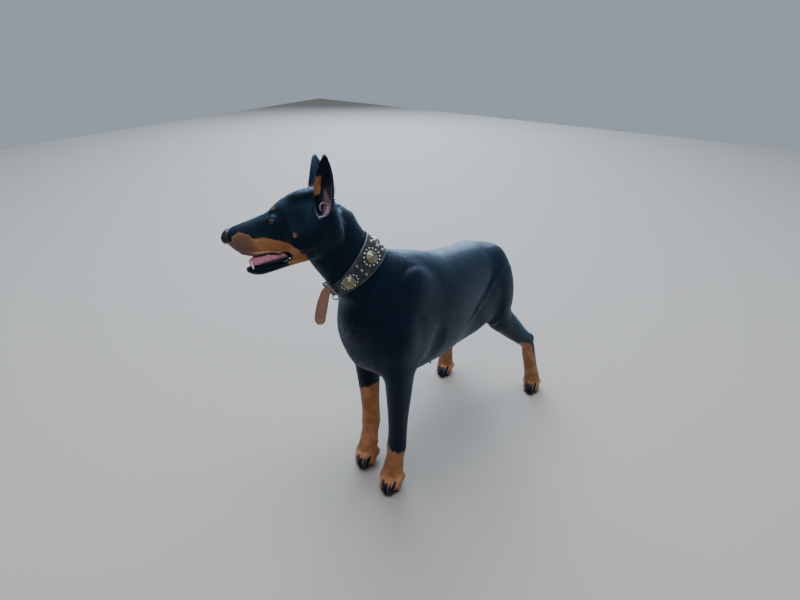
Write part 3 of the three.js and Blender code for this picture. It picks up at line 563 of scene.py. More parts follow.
class Clay:
    """A block of space in which forms are joined and cut, and which is then skinned.

    Each place holds its distance from the surface in millimetres: "empty" where nothing is yet, and
    "edge" along the block's sides, so that the skin closes there.
    """

    block = 24
    empty = 60.0
    edge = 9.0

    def __init__(self, low: Sequence[float], high: Sequence[float], cell: float) -> None:
        """Sets out the grid.

        Args:
            low: lowest corner, in millimetres.
            high: highest corner.
            cell: size of a grid step.
        """
        self.low = np.array(low, float)
        self.cell = cell
        self.count = np.ceil((np.array(high, float) - self.low) / cell).astype(int) + 1
        self.values = np.full(self.count, self.empty, np.float32)

    def _blocks(self, form: Form, margin: float) -> list[tuple[slice, ...]]:
        """Gives the blocks of the grid round a form.

        Args:
            form: the form.
            margin: how far beyond its box they reach.

        Returns:
            The three ranges of each block.
        """
        low, high = form.box()
        a = np.maximum(np.floor((low - margin - self.low) / self.cell).astype(int), 0)
        b = np.minimum(np.ceil((high + margin - self.low) / self.cell).astype(int) + 1, self.count)
        cuts = [
            [slice(i, min(i + self.block, b[k])) for i in range(a[k], b[k], self.block)] for k in range(3)
        ]
        return list(product(*cuts))

    def _points(self, window: tuple[slice, ...]) -> Array:
        """Gives the points of a block."""
        axes = [self.low[k] + self.cell * np.arange(part.start, part.stop) for k, part in enumerate(window)]
        return np.stack(np.meshgrid(*axes, indexing="ij"), -1)

    def work(self, form: Form, soft: float, how: Join = Join.ADD) -> None:
        """Joins a form to the clay, or cuts it out, with a soft transition.

        Args:
            form: the form.
            soft: width of the transition, in millimetres.
            how: whether it is added or cut.
        """
        soft = max(soft, 1e-3)
        margin = soft + 3 * self.cell
        sign = -1 if how is Join.CUT else 1

        def fill(window: tuple[slice, ...]) -> None:
            """Works one block. A block far from the form's surface is filled evenly.

            Args:
                window: the block's three ranges.
            """
            points = self._points(window)
            middle = points[tuple(n // 2 for n in points.shape[:3])]
            half = self.cell * math.hypot(*points.shape[:3]) / 2
            rough = float(form.distance(middle[None, :])[0])
            old = sign * self.values[window]
            if abs(rough) > 1.7 * half + margin:
                if rough < 0:
                    self.values[window] = sign * np.minimum(old, rough)
                return
            new = form.distance(points).astype(np.float32)
            blend = np.maximum(soft - np.abs(old - new), 0) / soft
            self.values[window] = sign * (np.minimum(old, new) - blend * blend * soft * 0.25)

        with ThreadPoolExecutor(4) as pool:
            list(pool.map(fill, self._blocks(form, margin)))

    def cut_at(self, plane: Callable[[Array], Array], middle: Array, reach: float) -> None:
        """Takes away what is ahead of a plane.

        Args:
            plane: gives the distance ahead of it.
            middle: a point on it.
            reach: how far from that point it cuts.
        """
        for window in self._blocks(Ball(tuple(middle), (reach,) * 3), 0):
            self.values[window] = np.maximum(self.values[window], plane(self._points(window)))

    def soften(self, form: Form, rounds: int) -> None:
        """Rubs out creases inside a form, fading toward its edge.

        Args:
            form: where to rub.
            rounds: how often each value moves to the mean of its neighbours.
        """
        low, high = form.box()
        a = np.maximum(np.floor((low - self.low) / self.cell).astype(int), 1)
        b = np.minimum(np.ceil((high - self.low) / self.cell).astype(int), self.count - 1)
        window = tuple(slice(i, j) for i, j in zip(a, b))
        wider = tuple(slice(i - 1, j + 1) for i, j in zip(a, b))
        share = step(0, -18, form.distance(self._points(window))).astype(np.float32)
        block = self.values[wider].copy()
        inner = (slice(1, -1),) * 3
        for _ in range(rounds):
            mean = sum(np.roll(block, way, axis)[inner] for axis in range(3) for way in (1, -1)) / 6
            block[inner] += share * (mean - block[inner])
        self.values[window] = block[inner]

    def skin(self) -> tuple[Array, Array]:
        """Finds the clay's surface.

        Returns:
            Its points, in millimetres, and its four-sided faces.
        """
        v = self.values
        v[0], v[-1], v[:, 0], v[:, -1], v[:, :, 0], v[:, :, -1] = (self.edge,) * 6
        inside = v < 0
        n = np.array(v.shape) - 1
        total = np.zeros(n, np.uint8)
        corners = list(product((0, 1), repeat=3))
        for i, j, k in corners:
            total += inside[i : n[0] + i, j : n[1] + j, k : n[2] + k]
        mixed = (total > 0) & (total < 8)
        cells = np.argwhere(mixed)
        number = np.full(n, -1, np.int32)
        number[mixed] = np.arange(len(cells))
        place = np.zeros((len(cells), 3))
        hits = np.zeros(len(cells))
        for a in corners:
            for axis in range(3):
                if a[axis]:
                    continue
                b = list(a)
                b[axis] = 1
                va = v[tuple((cells + a).T)]
                vb = v[tuple((cells + b).T)]
                cross = (va < 0) != (vb < 0)
                t = np.where(cross, va / np.where(cross, va - vb, 1), 0)
                where = np.array(a, float) + 0 * cells
                where[:, axis] += t
                place += where * cross[:, None]
                hits += cross
        points = self.low + self.cell * (cells + place / hits[:, None])
        faces = []
        for axis in range(3):
            u, w = (axis + 1) % 3, (axis + 2) % 3
            front = [slice(None)] * 3
            back = [slice(None)] * 3
            front[axis], back[axis] = slice(0, -1), slice(1, None)
            cross = inside[tuple(front)] != inside[tuple(back)]
            at = np.argwhere(cross)
            at = at[(at[:, u] > 0) & (at[:, w] > 0) & (at[:, u] < n[u]) & (at[:, w] < n[w])]
            starts_in = inside[tuple(at.T)]
            quad = []
            for du, dw in ((0, 0), (-1, 0), (-1, -1), (0, -1)):
                cell = at.copy()
                cell[:, u] += du
                cell[:, w] += dw
                quad.append(number[tuple(cell.T)])
            quad = np.stack(quad, 1)
            quad[~starts_in] = quad[~starts_in][:, ::-1]
            faces.append(quad)
        return points, np.concatenate(faces)


def relaxed(points: Array, faces: Array, rounds: int, amount: float = 0.5) -> Array:
    """Evens out a skin's points.

    Args:
        points: the points.
        faces: four-sided faces.
        rounds: how many passes.
        amount: how far each point moves to the middle of its neighbours.

    Returns:
        The points in their new places.
    """
    edges = np.concatenate([faces[:, [0, 1]], faces[:, [1, 2]], faces[:, [2, 3]], faces[:, [3, 0]]])
    edges = np.unique(np.sort(edges, 1), axis=0)
    both = np.concatenate([edges, edges[:, ::-1]])
    degree = np.bincount(both[:, 0], minlength=len(points))[:, None]
    for _ in range(rounds):
        for sign in (amount, -amount * 1.04):
            mean = np.stack(
                [np.bincount(both[:, 0], points[both[:, 1], k], minlength=len(points)) for k in range(3)], 1
            ) / np.maximum(degree, 1)
            points = points + sign * (mean - points)
    return points


# Legs, paws and claws


@dataclass
class Leg:
    """One leg: its line, its ovals, its toes and its claws."""

    name: str
    joints: list[tuple[float, float, float]] = field(init=False)
    turn: float = field(init=False)
    paw_turn: float = field(init=False)
    fore: bool = field(init=False)
    side: int = field(init=False)

    def __post_init__(self) -> None:
        """Reads the leg's line from its name."""
        self.joints, self.turn, self.paw_turn = LEG_JOINTS[self.name]
        self.fore = self.name.endswith("fore")
        self.side = LEFT if self.name.startswith("left") else RIGHT

    def centre(self, place: float) -> Array:
        """Gives the middle of the leg.

        Args:
            place: the place along its joints, counted from 0 at the first.

        Returns:
            The point there.
        """
        i = int(min(max(math.floor(place), 0), len(self.joints) - 2))
        a, b = (np.array(self.joints[i + k], float) for k in (0, 1))
        return a + (b - a) * (place - i)

    def flesh(self) -> Limb:
        """Gives the leg from the shoulder or hip to the paw.

        Returns:
            The leg as a limb.
        """
        turn = math.radians(self.turn)
        side = (math.sin(turn), -math.cos(turn), 0)
        rows = []
        for place, wide, front, back, shift in FORE_ROWS if self.fore else HIND_ROWS:
            x, y, z = self.centre(place)
            rows.append((x - shift, y, z, *side, wide, front, back, 2.1))
        return Limb(rows, per_row=2)

    def toes(self) -> list[tuple[Array, Array, Array, float]]:
        """Gives the toes' places.

        Returns:
            Each toe's root on the floor, its way forward, its left and its reach.
        """
        x, y = self.joints[4][:2]
        facing = math.radians(180 + self.paw_turn)
        out = []
        for aside, reach, fan in FORE_TOES if self.fore else HIND_TOES:
            heading = math.radians(180 + self.paw_turn + fan)
            ahead = np.array([math.cos(heading), math.sin(heading), 0])
            left = np.array([-ahead[1], ahead[0], 0])
            root = np.array([x - math.sin(facing) * aside, y + math.cos(facing) * aside, 0])
            out.append((root, ahead, left, reach))
        return out

    def toe_forms(self) -> list[Form]:
        """Gives the toes, arched from the knuckles to the floor.

        Returns:
            A limb for each toe.
        """
        radius, arch = (12.5, 35) if self.fore else (11, 33)
        forms: list[Form] = []
        for root, ahead, left, reach in self.toes():
            rows = []
            for along, height, wide, over, under in (
                (-42, -8, 0.8, 0.9, 1.2), (-20, -6, 0.95, 0.95, 1.6), (-4, -11, 1.0, 1.02, 1.7),
                (5, -18, 0.96, 0.96, 1.2), (10, -23, 0.66, 0.62, 0.8),
            ):
                c = root + ahead * (reach + along)
                rows.append(
                    (c[0], c[1], arch + height, *left, wide * radius, over * radius, under * radius, 2.1)
                )
            forms.append(Limb(rows, per_row=3))
        return forms

    def pads(self) -> list[Form]:
        """Gives the pads under the toes and under the middle of the paw.

        Returns:
            A ball for each pad.
        """
        forms: list[Form] = []
        for root, ahead, _, reach in self.toes():
            c = root + ahead * (reach + 2)
            forms.append(Ball((c[0], c[1], 6), (11, 8, 7)))
        x, y = self.joints[4][:2]
        turn = math.radians(180 + self.paw_turn)
        forms.append(Ball((x + 7 * math.cos(turn), y + 7 * math.sin(turn), 8), (22, 22, 9)))
        return forms

    def claw_roots(self) -> list[tuple[Array, Array, Array, float, float]]:
        """Gives the claws' places, the dewclaw's last.

        Returns:
            Each claw's root, its way, its left, its length and its radius.
        """
        roots = [
            (root + ahead * (reach + 9) + (0, 0, 13), ahead, left, 19.0, 3.8)
            for root, ahead, left, reach in self.toes()
        ]
        if self.fore:
            share = (self.joints[3][2] - 62) / (self.joints[3][2] - self.joints[4][2])
            x, y, _ = self.centre(3 + share)
            inward = self.side
            ahead = np.array([-0.85, inward * 0.35, -0.4])
            roots.append(
                (
                    np.array([x - 2, y + inward * 26, 62]),
                    ahead / np.linalg.norm(ahead), np.array([0.0, -1, 0]), 17.0, 3.4
                )
            )
        return roots

    def around(self, p: Array) -> tuple[Array, Array, Array]:
        """Describes points by where they are round the leg.

        Args:
            p: points of the dog's frame.

        Returns:
            How far each is to the front and to the inside, from -1 to 1, and its distance from the line.
        """
        line = np.array([self.centre(t) for t in np.linspace(1.6, 4.9, 60)])
        order = np.argsort(line[:, 2])
        cx, cy = (np.interp(p[:, 2], line[order, 2], line[order, k]) for k in (0, 1))
        dx, dy = p[:, 0] - cx, p[:, 1] - cy
        gap = np.hypot(dx, dy) + 1e-6
        return -dx / gap, dy * self.side / gap, gap


LEGS = [Leg(name) for name in LEG_JOINTS]


def neck_limb() -> Limb:
    """Gives the neck, whose sides turn from the trunk's left to the head's left.

    Returns:
        The neck from inside the shoulders to inside the skull.
    """
    trunk_left, head_left = WITHERS.axes()[1], HEAD.axes()[1]
    rows = []
    for x, y, z, turned, wide, above, below in NECK_ROWS:
        side = trunk_left * (1 - turned) + head_left * turned
        rows.append((x, y, z, *(side / np.linalg.norm(side)), wide, above, below, 2.1))
    return Limb(rows, per_row=4)


def ring_place(degrees: float, place: float, lift: float = 0.0) -> Array:
    """Finds a point on the neck.

    Args:
        degrees: its angle from the nape, toward the left.
        place: its place along the neck's rows.
        lift: how far it stands off the neck.

    Returns:
        The point.
    """
    centre, side, over, (wide, above, below, square) = NECK.read(np.array(place * NECK.per_row))
    angle = math.pi / 2 - math.radians(degrees)
    c, s = (math.copysign(abs(v) ** (2 / square), v) for v in (math.cos(angle), math.sin(angle)))
    tall = (above if s > 0 else below) + lift
    return centre + side * c * (wide + lift) + over * s * tall


NECK = neck_limb()


def collar_plane(place: float) -> tuple[Callable[[Array], Array], Array]:
    """Gives a plane across the neck.

    Args:
        place: its place along the neck's rows.

    Returns:
        What gives the distance ahead of the plane, and the plane's middle.
    """
    at, side, over, _ = NECK.read(np.array(place * NECK.per_row))
    way = np.cross(side, over)
    return (lambda p: (p - at) @ way), at


# The body's skin


@dataclass
class BodySkin:
    """The trunk, the legs, the paws and the tail as one skin, up to under the collar."""

    cell: float = 2.6
    coat_depth: float = 0.6
    cut_place: float = 3.72

    def clay(self) -> Clay:
        """Works the body's forms together.

        Returns:
            The clay.
        """
        clay = Clay((-128, -212, -5), (738, 216, 716), self.cell)
        clay.work(Loft(TRUNK_ROWS, WITHERS), 1)
        clay.work(NECK, 34)
        for side in SIDES:
            sideways = np.array([0, 1, 0])
            rows = [(x, FLANK_MIDDLE - side * y, z, *sideways, w, a, b, 2) for x, y, z, w, a, b in FLANK_ROWS]
            clay.work(Limb(rows), 34)
        for leg in LEGS:
            clay.work(leg.flesh(), 26)
        for form in self.joins():
            clay.soften(form, 50)
        for form, soft in self.muscles():
            clay.work(form, soft)
        clay.work(self.tail(), 14)
        for leg in LEGS:
            for form in leg.toe_forms():
                clay.work(form, 3.5)
            for form in leg.pads():
                clay.work(form, 2.5)
        for form, soft in self.hollows():
            clay.work(form, soft, Join.CUT)
        plane, middle = collar_plane(self.cut_place)
        clay.cut_at(plane, middle, NECK_CUT_REACH)
        clay.values += self.coat_depth
        return clay

    @staticmethod
    def joins() -> list[Form]:
        """Gives the places where a limb meets the trunk and the skin runs smoothly over both.

        Returns:
            Two balls for each leg.
        """
        forms: list[Form] = []
        for leg in LEGS:
            (x, y, z), far = leg.joints[0], leg.side * 24
            if leg.fore:
                forms += [
                    Ball((x, y - far, z - 10), (80, 60, 90)),
                    Ball((x - 60, y - far, z - 140), (80, 60, 90))
                ]
            else:
                forms += [
                    Ball((x, y - far, z - 10), (80, 70, 80)),
                    Ball((x - 56, y - 3 * far, z - 150), (100, 56, 100))
                ]
        return forms

    @staticmethod
    def tail() -> Limb:
        """Gives the tail, hanging behind the left hind leg."""
        return Limb([(*at, 0, -1, 0, r, r, r, 2) for at, r in zip(TAIL_POINTS, TAIL_RADII)], per_row=5)

    @staticmethod
    def muscles() -> list[tuple[Form, float]]:
        """Gives the muscles and bony points that show under the short coat.

        Returns:
            Each form with how softly it blends.
        """
        forms: list[tuple[Form, float]] = []
        for side in SIDES:
            def at(x: float, aside: float, z: float, s: int = side) -> tuple[float, float, float]:
                """Places a point on one side of the trunk."""
                return (x, MIDLINE - s * aside, z)

            forms += [
                (Ball(at(62, 64, 540), (44, 22, 84), (0, -14, 0)), 46),
                (Ball(at(40, 86, 448), (44, 20, 66), (0, 16, 0)), 26),
                (Ball(at(-24, 68, 474), (34, 30, 46)), 44),
                (Ball(at(-34, 28, 446), (42, 32, 66), (0, 10, 0)), 46),
            ]
        for leg in LEGS:
            x, y, z = leg.joints[3]
            if leg.fore:
                elbow = leg.centre(1.92)
                forms.append(
                    (Ball((elbow[0] + 44, elbow[1] + leg.side * 2, elbow[2] + 22), (15, 11, 20)), 16)
                )
                forms.append((Ball((x + 25, y, z - 14), (8, 9, 11)), 5))
                forms.append((Rod([(x + 19, y, z + 60), (x + 20, y, z - 10)], [7, 8]), 9))
                dew = leg.claw_roots()[-1][0]
                forms.append((Ball((dew[0] + 5, dew[1] - leg.side * 3, dew[2] + 3), (11, 7, 10)), 5))
            else:
                point = np.array([x + 18, y, z + 12], float)
                calf = leg.centre(2.28) + (36, 0, 6)
                forms.append((Ball(tuple(point), (10, 11, 17), (0, -20, 0)), 9))
                forms.append((Rod([tuple(point), tuple(calf)], [7, 13]), 12))
                forms.append((Rod([tuple(point + (2, 0, -4)), (x + 17, y, z - 50)], [9, 8]), 10))
                forms.append((Ball(tuple(leg.centre(1.98) + (-38, 0, 8)), (14, 17, 19)), 16))
        for side in SIDES:
            fold = [(x - 14 * (side < 0), y + 2 if side > 0 else -34 - y - 2, z) for x, y, z in FLANK_FOLD]
            forms.append((Rod(fold, [2, 5, 7.5, 8, 6.5, 3]), 9))
        for x, z in ((236, 324), (196, 319), (158, 317), (292, 333)):
            for side in SIDES:
                forms.append((Ball((x + 4 * side, -20 - side * 44, z), (4.2, 4.2, 9)), 4))
        return forms

    @staticmethod
    def hollows() -> list[tuple[Form, float]]:
        """Gives the soft hollows between the muscles.

        Returns:
            Each form with how softly it cuts.
        """
        forms: list[tuple[Form, float]] = []
        for side in SIDES:
            forms.append((Ball((386 - 14 * (side < 0), -17 - side * 128, 424), (40, 12, 30), (0, 28, 0)), 26))
            forms.append((Ball((96, MIDLINE - side * 122, 400), (20, 14, 46), (0, 10, 0)), 30))
        return forms

    def build(self) -> tuple[Array, Array]:
        """Skins the body's clay and sets its soles flat on the floor.

        Returns:
            The skin's points and its faces.
        """
        points, faces = self.clay().skin()
        points = relaxed(points, faces, 3, 0.5)
        points[:, 2] = np.maximum(points[:, 2], 0.15)
        return points, faces


# The head's skin


@dataclass
class EarForm(Form):
    """An ear: a cup with an even wall, open to the side and forward."""

    side: int
    rows: list[tuple[float, ...]] = field(init=False)
    _fine: Array = field(init=False, repr=False)

    def __post_init__(self) -> None:
        """Reads the ear's rows finely. The right ear stands a little higher and further forward."""
        self.rows = list(EAR_ROWS)
        if self.side < 0:
            forward, stretch, lift = RIGHT_EAR
            low = EAR_ROWS[0][2]
            self.rows = [
                (x + forward * (z - low), y, low + stretch * (z - low) + lift, *rest)
                for x, y, z, *rest in EAR_ROWS
            ]
        self._fine = smooth_rows(self.rows, np.linspace(0, len(self.rows) - 1, 80))

    def box(self) -> tuple[Array, Array]:
        """Gives the ear's box.

        Returns:
            Its lowest and highest corners.
        """
        low, high = np.array([-135.0, 15, -28]), np.array([-15.0, 90, 126])
        if self.side < 0:
            low[1], high[1] = -high[1], -low[1]
        return low, high

    def place(self, p: Array) -> tuple[Array, ...]:
        """Describes points by where they are in the ear.

        Args:
            p: points of the head's frame.

        Returns:
            How far each is to the back edge and out of the cup; the ear's half width, depth and wall.
        """
        f = self._fine
        x, y, half, depth, thick, turn = (np.interp(p[..., 2], f[:, 2], f[:, k]) for k in (0, 1, 3, 4, 5, 6))
        sideways = np.sqrt(1 - turn * turn)
        dx, dy = p[..., 0] - x, p[..., 1] * self.side - y
        return -dx * sideways + dy * turn, dx * turn + dy * sideways, half, depth, thick

    def distance(self, p: Array) -> Array:
        """Gives the distance of each point from the ear.

        Args:
            p: points of the head's frame.

        Returns:
            The distance from the wall of the cup, whose rim is round.
        """
        back, out, half, depth, thick = self.place(p)
        outer = oval_distance(back, out, half, depth, depth, np.array(2.0))
        inner = oval_distance(
            back, out, *(np.maximum(size - thick - 1, 0.5) for size in (half, depth, depth)), np.array(2.0)
        )
        wall = np.maximum(outer, -inner)
        rim = np.maximum(wall, out)
        round_rim = np.hypot(np.maximum(wall + 1.6, 0), np.maximum(out + 1.6, 0)) - 1.6
        shell = np.maximum(rim, round_rim)
        beyond = np.maximum(np.maximum(self._fine[0, 2] - p[..., 2], p[..., 2] - self._fine[-1, 2]), 0)
        return np.where(beyond > 0, np.hypot(np.maximum(shell, 0), beyond), shell)

    def opening(self) -> Form:
        """Gives the room of the cup where it goes down into the head.

        Returns:
            The room as a form.
        """

        def rule(p: Array) -> Array:
            """Gives the distance from the room.

            Args:
                p: points of the head's frame.

            Returns:
                The distance, less than nought in the room.
            """
            back, out, half, depth, thick = self.place(p)
            sizes = (np.maximum(size - thick - 1, 0.5) for size in (half, depth, depth))
            room = oval_distance(back, np.minimum(out, 0), *sizes, np.array(2.0))
            low = self.rows[0][2] + 6
            return np.maximum(room, np.maximum(np.maximum(low - p[..., 2], p[..., 2] - low - 70), out - 24))

        return Custom(*self.box(), rule)

    def point(self, z: float, back: float, out: float) -> tuple[float, float, float]:
        """Places a point of the ear.

        Args:
            z: its height in the head's frame.
            back: how far it is toward the back edge.
            out: how far it is out of the cup.

        Returns:
            The point in the head's frame.
        """
        f = self._fine
        x, y, turn = (float(np.interp(z, f[:, 2], f[:, k])) for k in (0, 1, 6))
        sideways = math.sqrt(1 - turn * turn)
        return (x - back * sideways + out * turn, self.side * (y + back * turn + out * sideways), z)


@dataclass
class EyeAxes:
    """An eye's middle and its directions: out, along the lids and up."""

    side: int

    def __post_init__(self) -> None:
        """Works out the directions."""
        mirror = np.array([1, self.side, 1])
        self.at = np.array(EYE_AT) * mirror
        self.out = unit(np.array(EYE_LOOK) * mirror)
        self.along = unit(np.cross((0, 0, 1), self.out))
        self.up = np.cross(self.out, self.along)

    def split(self, p: Array) -> tuple[Array, Array, Array]:
        """Gives points by the eye's directions: out, along the lids and up."""
        off = p - self.at
        return off @ self.out, off @ self.along, off @ self.up

    def window(self, half: float, tall: float) -> Form:
        """Gives the almond window between the lids.

        Args:
            half: half its length.
            tall: half its height.

        Returns:
            The window as a form.
        """

        def rule(p: Array) -> Array:
            """Gives the distance from the window.

            Args:
                p: points of the head's frame.

            Returns:
                The distance, less than nought in the window.
            """
            out, along, up = self.split(p)
            across = np.abs(along) / half
            height = tall * np.clip(1 - across**1.7, 0.0, 1)
            return np.maximum(np.maximum(np.abs(up + 0.06 * along) - height, np.abs(along) - half), 5 - out)

        return Custom(tuple(self.at - 26), tuple(self.at + 26), rule)


@dataclass
class HeadSkin:
    """The head, the ears, the lower jaw and the top of the neck as one skin, down to under the collar."""

    cell: float = 1.3
    coat_depth: float = 0.5
    cut_place: float = 3.45

    def clay(self) -> Clay:
        """Works the head's forms together.

        Returns:
            The clay, in the head's frame.
        """
        clay = Clay((-165, -152, -238), (184, 100, 130), self.cell)
        clay.work(Loft(SKULL_ROWS), 1)
        clay.work(Moved(NECK, HEAD), 16)
        clay.work(Loft(JAW_ROWS), 7)
        for form, soft in self.shapes():
            clay.work(form, soft)
        for side in SIDES:
            ear = EarForm(side)
            clay.work(ear, 7)
            clay.work(self.ear_foot(ear), 9)
            clay.work(ear.opening(), 2.5, Join.CUT)
            for form in self.ear_folds(side):
                clay.work(form, 1.6)
        clay.work(Loft(PALATE_ROWS), 2, Join.CUT)
        for form, soft in self.hollows():
            clay.work(form, soft, Join.CUT)
        for side in SIDES:
            eye = EyeAxes(side)
            clay.work(Ball(tuple(eye.at), (13.2, 13.2, 13.2)), 9)
            clay.work(eye.window(12.2, 6.6), 1.2, Join.CUT)
        nose = [
            (x, top - 2, low + 2, wide - 2, level, square)
            for x, top, low, wide, level, square in NOSE_ROWS
        ]
        clay.work(Loft(nose), 1, Join.CUT)
        plane, middle = collar_plane(self.cut_place)
        clay.cut_at(lambda p: -plane(HEAD.out(p)), HEAD.into(middle), NECK_CUT_REACH)
        clay.values += self.coat_depth
        return clay

    @staticmethod
    def shapes() -> list[tuple[Form, float]]:
        """Gives the cheeks, the brows and the lips.

        Returns:
            Each form with how softly it blends.
        """
        forms: list[tuple[Form, float]] = []
        for side in SIDES:
            forms += [
                (Ball((2, side * 47, -42), (38, 14, 34)), 16),
                (Ball((50, side * 24, 30), (17, 10, 8), (0, 24, 0)), 10),
                (Ball((-30, side * 30, 39), (38, 22, 12), (0, -4, 0)), 20),
                (
                    Rod(
                        [
                            (152, side * 19, -34), (124, side * 25, -49),
                            (96, side * 27, -55), (72, side * 28, -64)
                        ],
                        [4, 5, 4.6, 4]
                    ),
                    6
                ),
                (
                    Rod(
                        [
                            (150, side * 12, -72), (120, side * 21, -77),
                            (90, side * 26, -80), (62, side * 30, -80)
                        ],
                        [3, 3.6, 3.8, 4]
                    ),
                    5
                ),
            ]
        return forms

    @staticmethod
    def ear_foot(ear: EarForm) -> Form:
        """Gives the muscle that holds the ear's front edge.

        Args:
            ear: the ear.

        Returns:
            The muscle as a rod.
        """
        lift = ear.rows[0][2] - EAR_ROWS[0][2]
        line = [(60, -19, -4), (40, -25, -6), (22, -34, -8), (6, -44, -11)]
        return Rod([ear.point(z + lift, back, out) for z, back, out in line], [1.5, 3.5, 6, 8])

    @staticmethod
    def ear_folds(side: int) -> list[Form]:
        """Gives the folds of bare skin at the foot of an ear's cup.

        Args:
            side: which ear.

        Returns:
            Two rods.
        """
        lines = [
            (
                [(-35, 49, -6), (-37, 48, -17), (-47, 45, -21), (-58, 42, -15), (-65, 40, -3)],
                [2.2, 2.8, 3.1, 3, 2.4]
            ),
            ([(-64, 37, 4), (-57, 36, 9), (-49, 36, 5), (-47, 37, -5)], [2.2, 2.6, 2.4, 1.8]),
        ]
        return [Rod([(x, side * y, z) for x, y, z in line], radii) for line, radii in lines]

    @staticmethod
    def hollows() -> list[tuple[Form, float]]:
        """Gives the soft hollows of the face.

        Returns:
            Each form with how softly it cuts.
        """
        forms: list[tuple[Form, float]] = [(Rod([(74, 0, 44), (46, 0, 60), (18, 0, 66)], [5, 6, 4]), 14)]
        for side in SIDES:
            forms += [
                (Ball((92, side * 42, -6), (22, 8, 15)), 12),
                (Ball((24, side * 66, 4), (18, 8, 24)), 22),
            ]
        return forms

    def build(self) -> tuple[Array, Array]:
        """Skins the head's clay."""
        points, faces = self.clay().skin()
        return relaxed(points, faces, 2, 0.4), faces


# Meshes and finishes


def linear(code: str) -> tuple[float, float, float, float]:
    """Turns an sRGB hex colour into the linear colour that a shader socket takes.

    Args:
        code: the colour, such as #ffffff.

    Returns:
        Red, green, blue and a full alpha.
    """
    parts = [int(code.lstrip("#")[i : i + 2], 16) / 255 for i in (0, 2, 4)]
    red, green, blue = (v / 12.92 if v <= 0.04045 else ((v + 0.055) / 1.055) ** 2.4 for v in parts)
    return (red, green, blue, 1.0)


def node(
    tree: bpy.types.NodeTree, kind: str, settings: Optional[dict] = None, **inputs: object
) -> bpy.types.Node:
    """Adds a shader node.

    Args:
        tree: the material's node tree.
        kind: the node's type.
        settings: properties of the node itself.
        inputs: a value or another socket for each input, by its name with _ for a space, or i0, i1 and so on.

    Returns:
        The new node.
    """
    made = tree.nodes.new(kind)
    for key, value in (settings or {}).items():
        setattr(made, key, value)
    for key, value in inputs.items():
        place = int(key[1:]) if key[0] == "i" and key[1:].isdigit() else key.replace("_", " ")
        socket = made.inputs[place]
        if isinstance(value, bpy.types.NodeSocket):
            tree.links.new(value, socket)
        else:
            socket.default_value = value
    return made


def ramp(
    tree: bpy.types.NodeTree, factor: bpy.types.NodeSocket, stops: Sequence[tuple[float, str]]
) -> bpy.types.NodeSocket:
    """Adds a colour ramp.

    Args:
        tree: the material's node tree.
        factor: what drives it.
        stops: places with their sRGB hex colours.

    Returns:
        The colour.
    """
    made = node(tree, "ShaderNodeValToRGB", Fac=factor)
    band = made.color_ramp.elements
    while len(band) < len(stops):
        band.new(0.5)
    for element, (place, code) in zip(band, stops):
        element.position = place
        element.color = linear(code)
    return made.outputs["Color"]


@dataclass(frozen=True)
class Finish:
    """A finish of one real material."""

    name: str
    slot: str
    code: str
    roughness: float
    ior: float = 1.45
    metallic: float = 0.0

    def material(self) -> bpy.types.Material:
        """Makes the material, once.

        Returns:
            The material.
        """
        found = bpy.data.materials.get(self.name)
        if found:
            return found
        made = bpy.data.materials.new(self.name)
        made.use_nodes = True
        tree = made.node_tree
        surface = tree.nodes["Principled BSDF"]
        surface.inputs["Base Color"].default_value = linear(self.code)
        surface.inputs["Roughness"].default_value = self.roughness
        surface.inputs["Metallic"].default_value = self.metallic
        if not self.metallic:
            surface.inputs["IOR"].default_value = self.ior
        self.dress(tree, surface)
        return made

    def dress(self, tree: bpy.types.NodeTree, surface: bpy.types.Node) -> None:
        """Adds the finish's own pattern. A plain finish has none."""

    @staticmethod
    def bump(
        tree: bpy.types.NodeTree,
        surface: bpy.types.Node,
        height: bpy.types.NodeSocket,
        depth: float,
        strength: float,
    ) -> None:
        """Sets a bump.

        Args:
            tree: the material's node tree.
            surface: the surface's shader.
            height: the pattern that stands up.
            depth: how far it stands up, in metres.
            strength: how much of it shows.
        """
        made = node(tree, "ShaderNodeBump", Strength=strength, Distance=depth, Height=height)
        tree.links.new(made.outputs["Normal"], surface.inputs["Normal"])


def paint(tree: bpy.types.NodeTree, name: str) -> bpy.types.NodeSocket:
    """Reads a painted attribute of the mesh."""
    return node(tree, "ShaderNodeAttribute", {"attribute_name": name}).outputs["Fac"]


def streaks(
    tree: bpy.types.NodeTree, size: Sequence[float],
    turn: Sequence[float] = (0, 0, 0), detail: float = 3, seed: float = 0
) -> bpy.types.NodeSocket:
    """Gives noise with patches of a size.

    Args:
        tree: the material's node tree.
        size: the patches' length, width and height in millimetres.
        turn: how their axes are turned, in degrees about x, y and z.
        detail: how much finer noise is in them.
        seed: which noise.

    Returns:
        The noise.
    """
    place = node(tree, "ShaderNodeTexCoord").outputs["Object"]
    angles, sizes = tuple(math.radians(v) for v in turn), tuple(v * MM for v in size)
    moved = node(
        tree, "ShaderNodeMapping", {"vector_type": "TEXTURE"},
        Vector=place, Location=(seed,) * 3, Rotation=angles, Scale=sizes
    )
    made = node(
        tree, "ShaderNodeTexNoise", Vector=moved.outputs["Vector"], Scale=1.0, Detail=detail, Roughness=0.6
    )
    return made.outputs["Fac"]


def mixed(
    tree: bpy.types.NodeTree, factor: bpy.types.NodeSocket, a: object, b: object
) -> bpy.types.NodeSocket:
    """Mixes two colours, each a socket or a linear colour."""
    made = node(tree, "ShaderNodeMix", {"data_type": "RGBA"}, i0=factor, i6=a, i7=b)
    return made.outputs[2]


def maths(
    tree: bpy.types.NodeTree, how: str, a: object, b: object = 0.0, clamp: bool = False
) -> bpy.types.NodeSocket:
    """Does one sum on two values."""
    return node(tree, "ShaderNodeMath", {"operation": how, "use_clamp": clamp}, i0=a, i1=b).outputs[0]


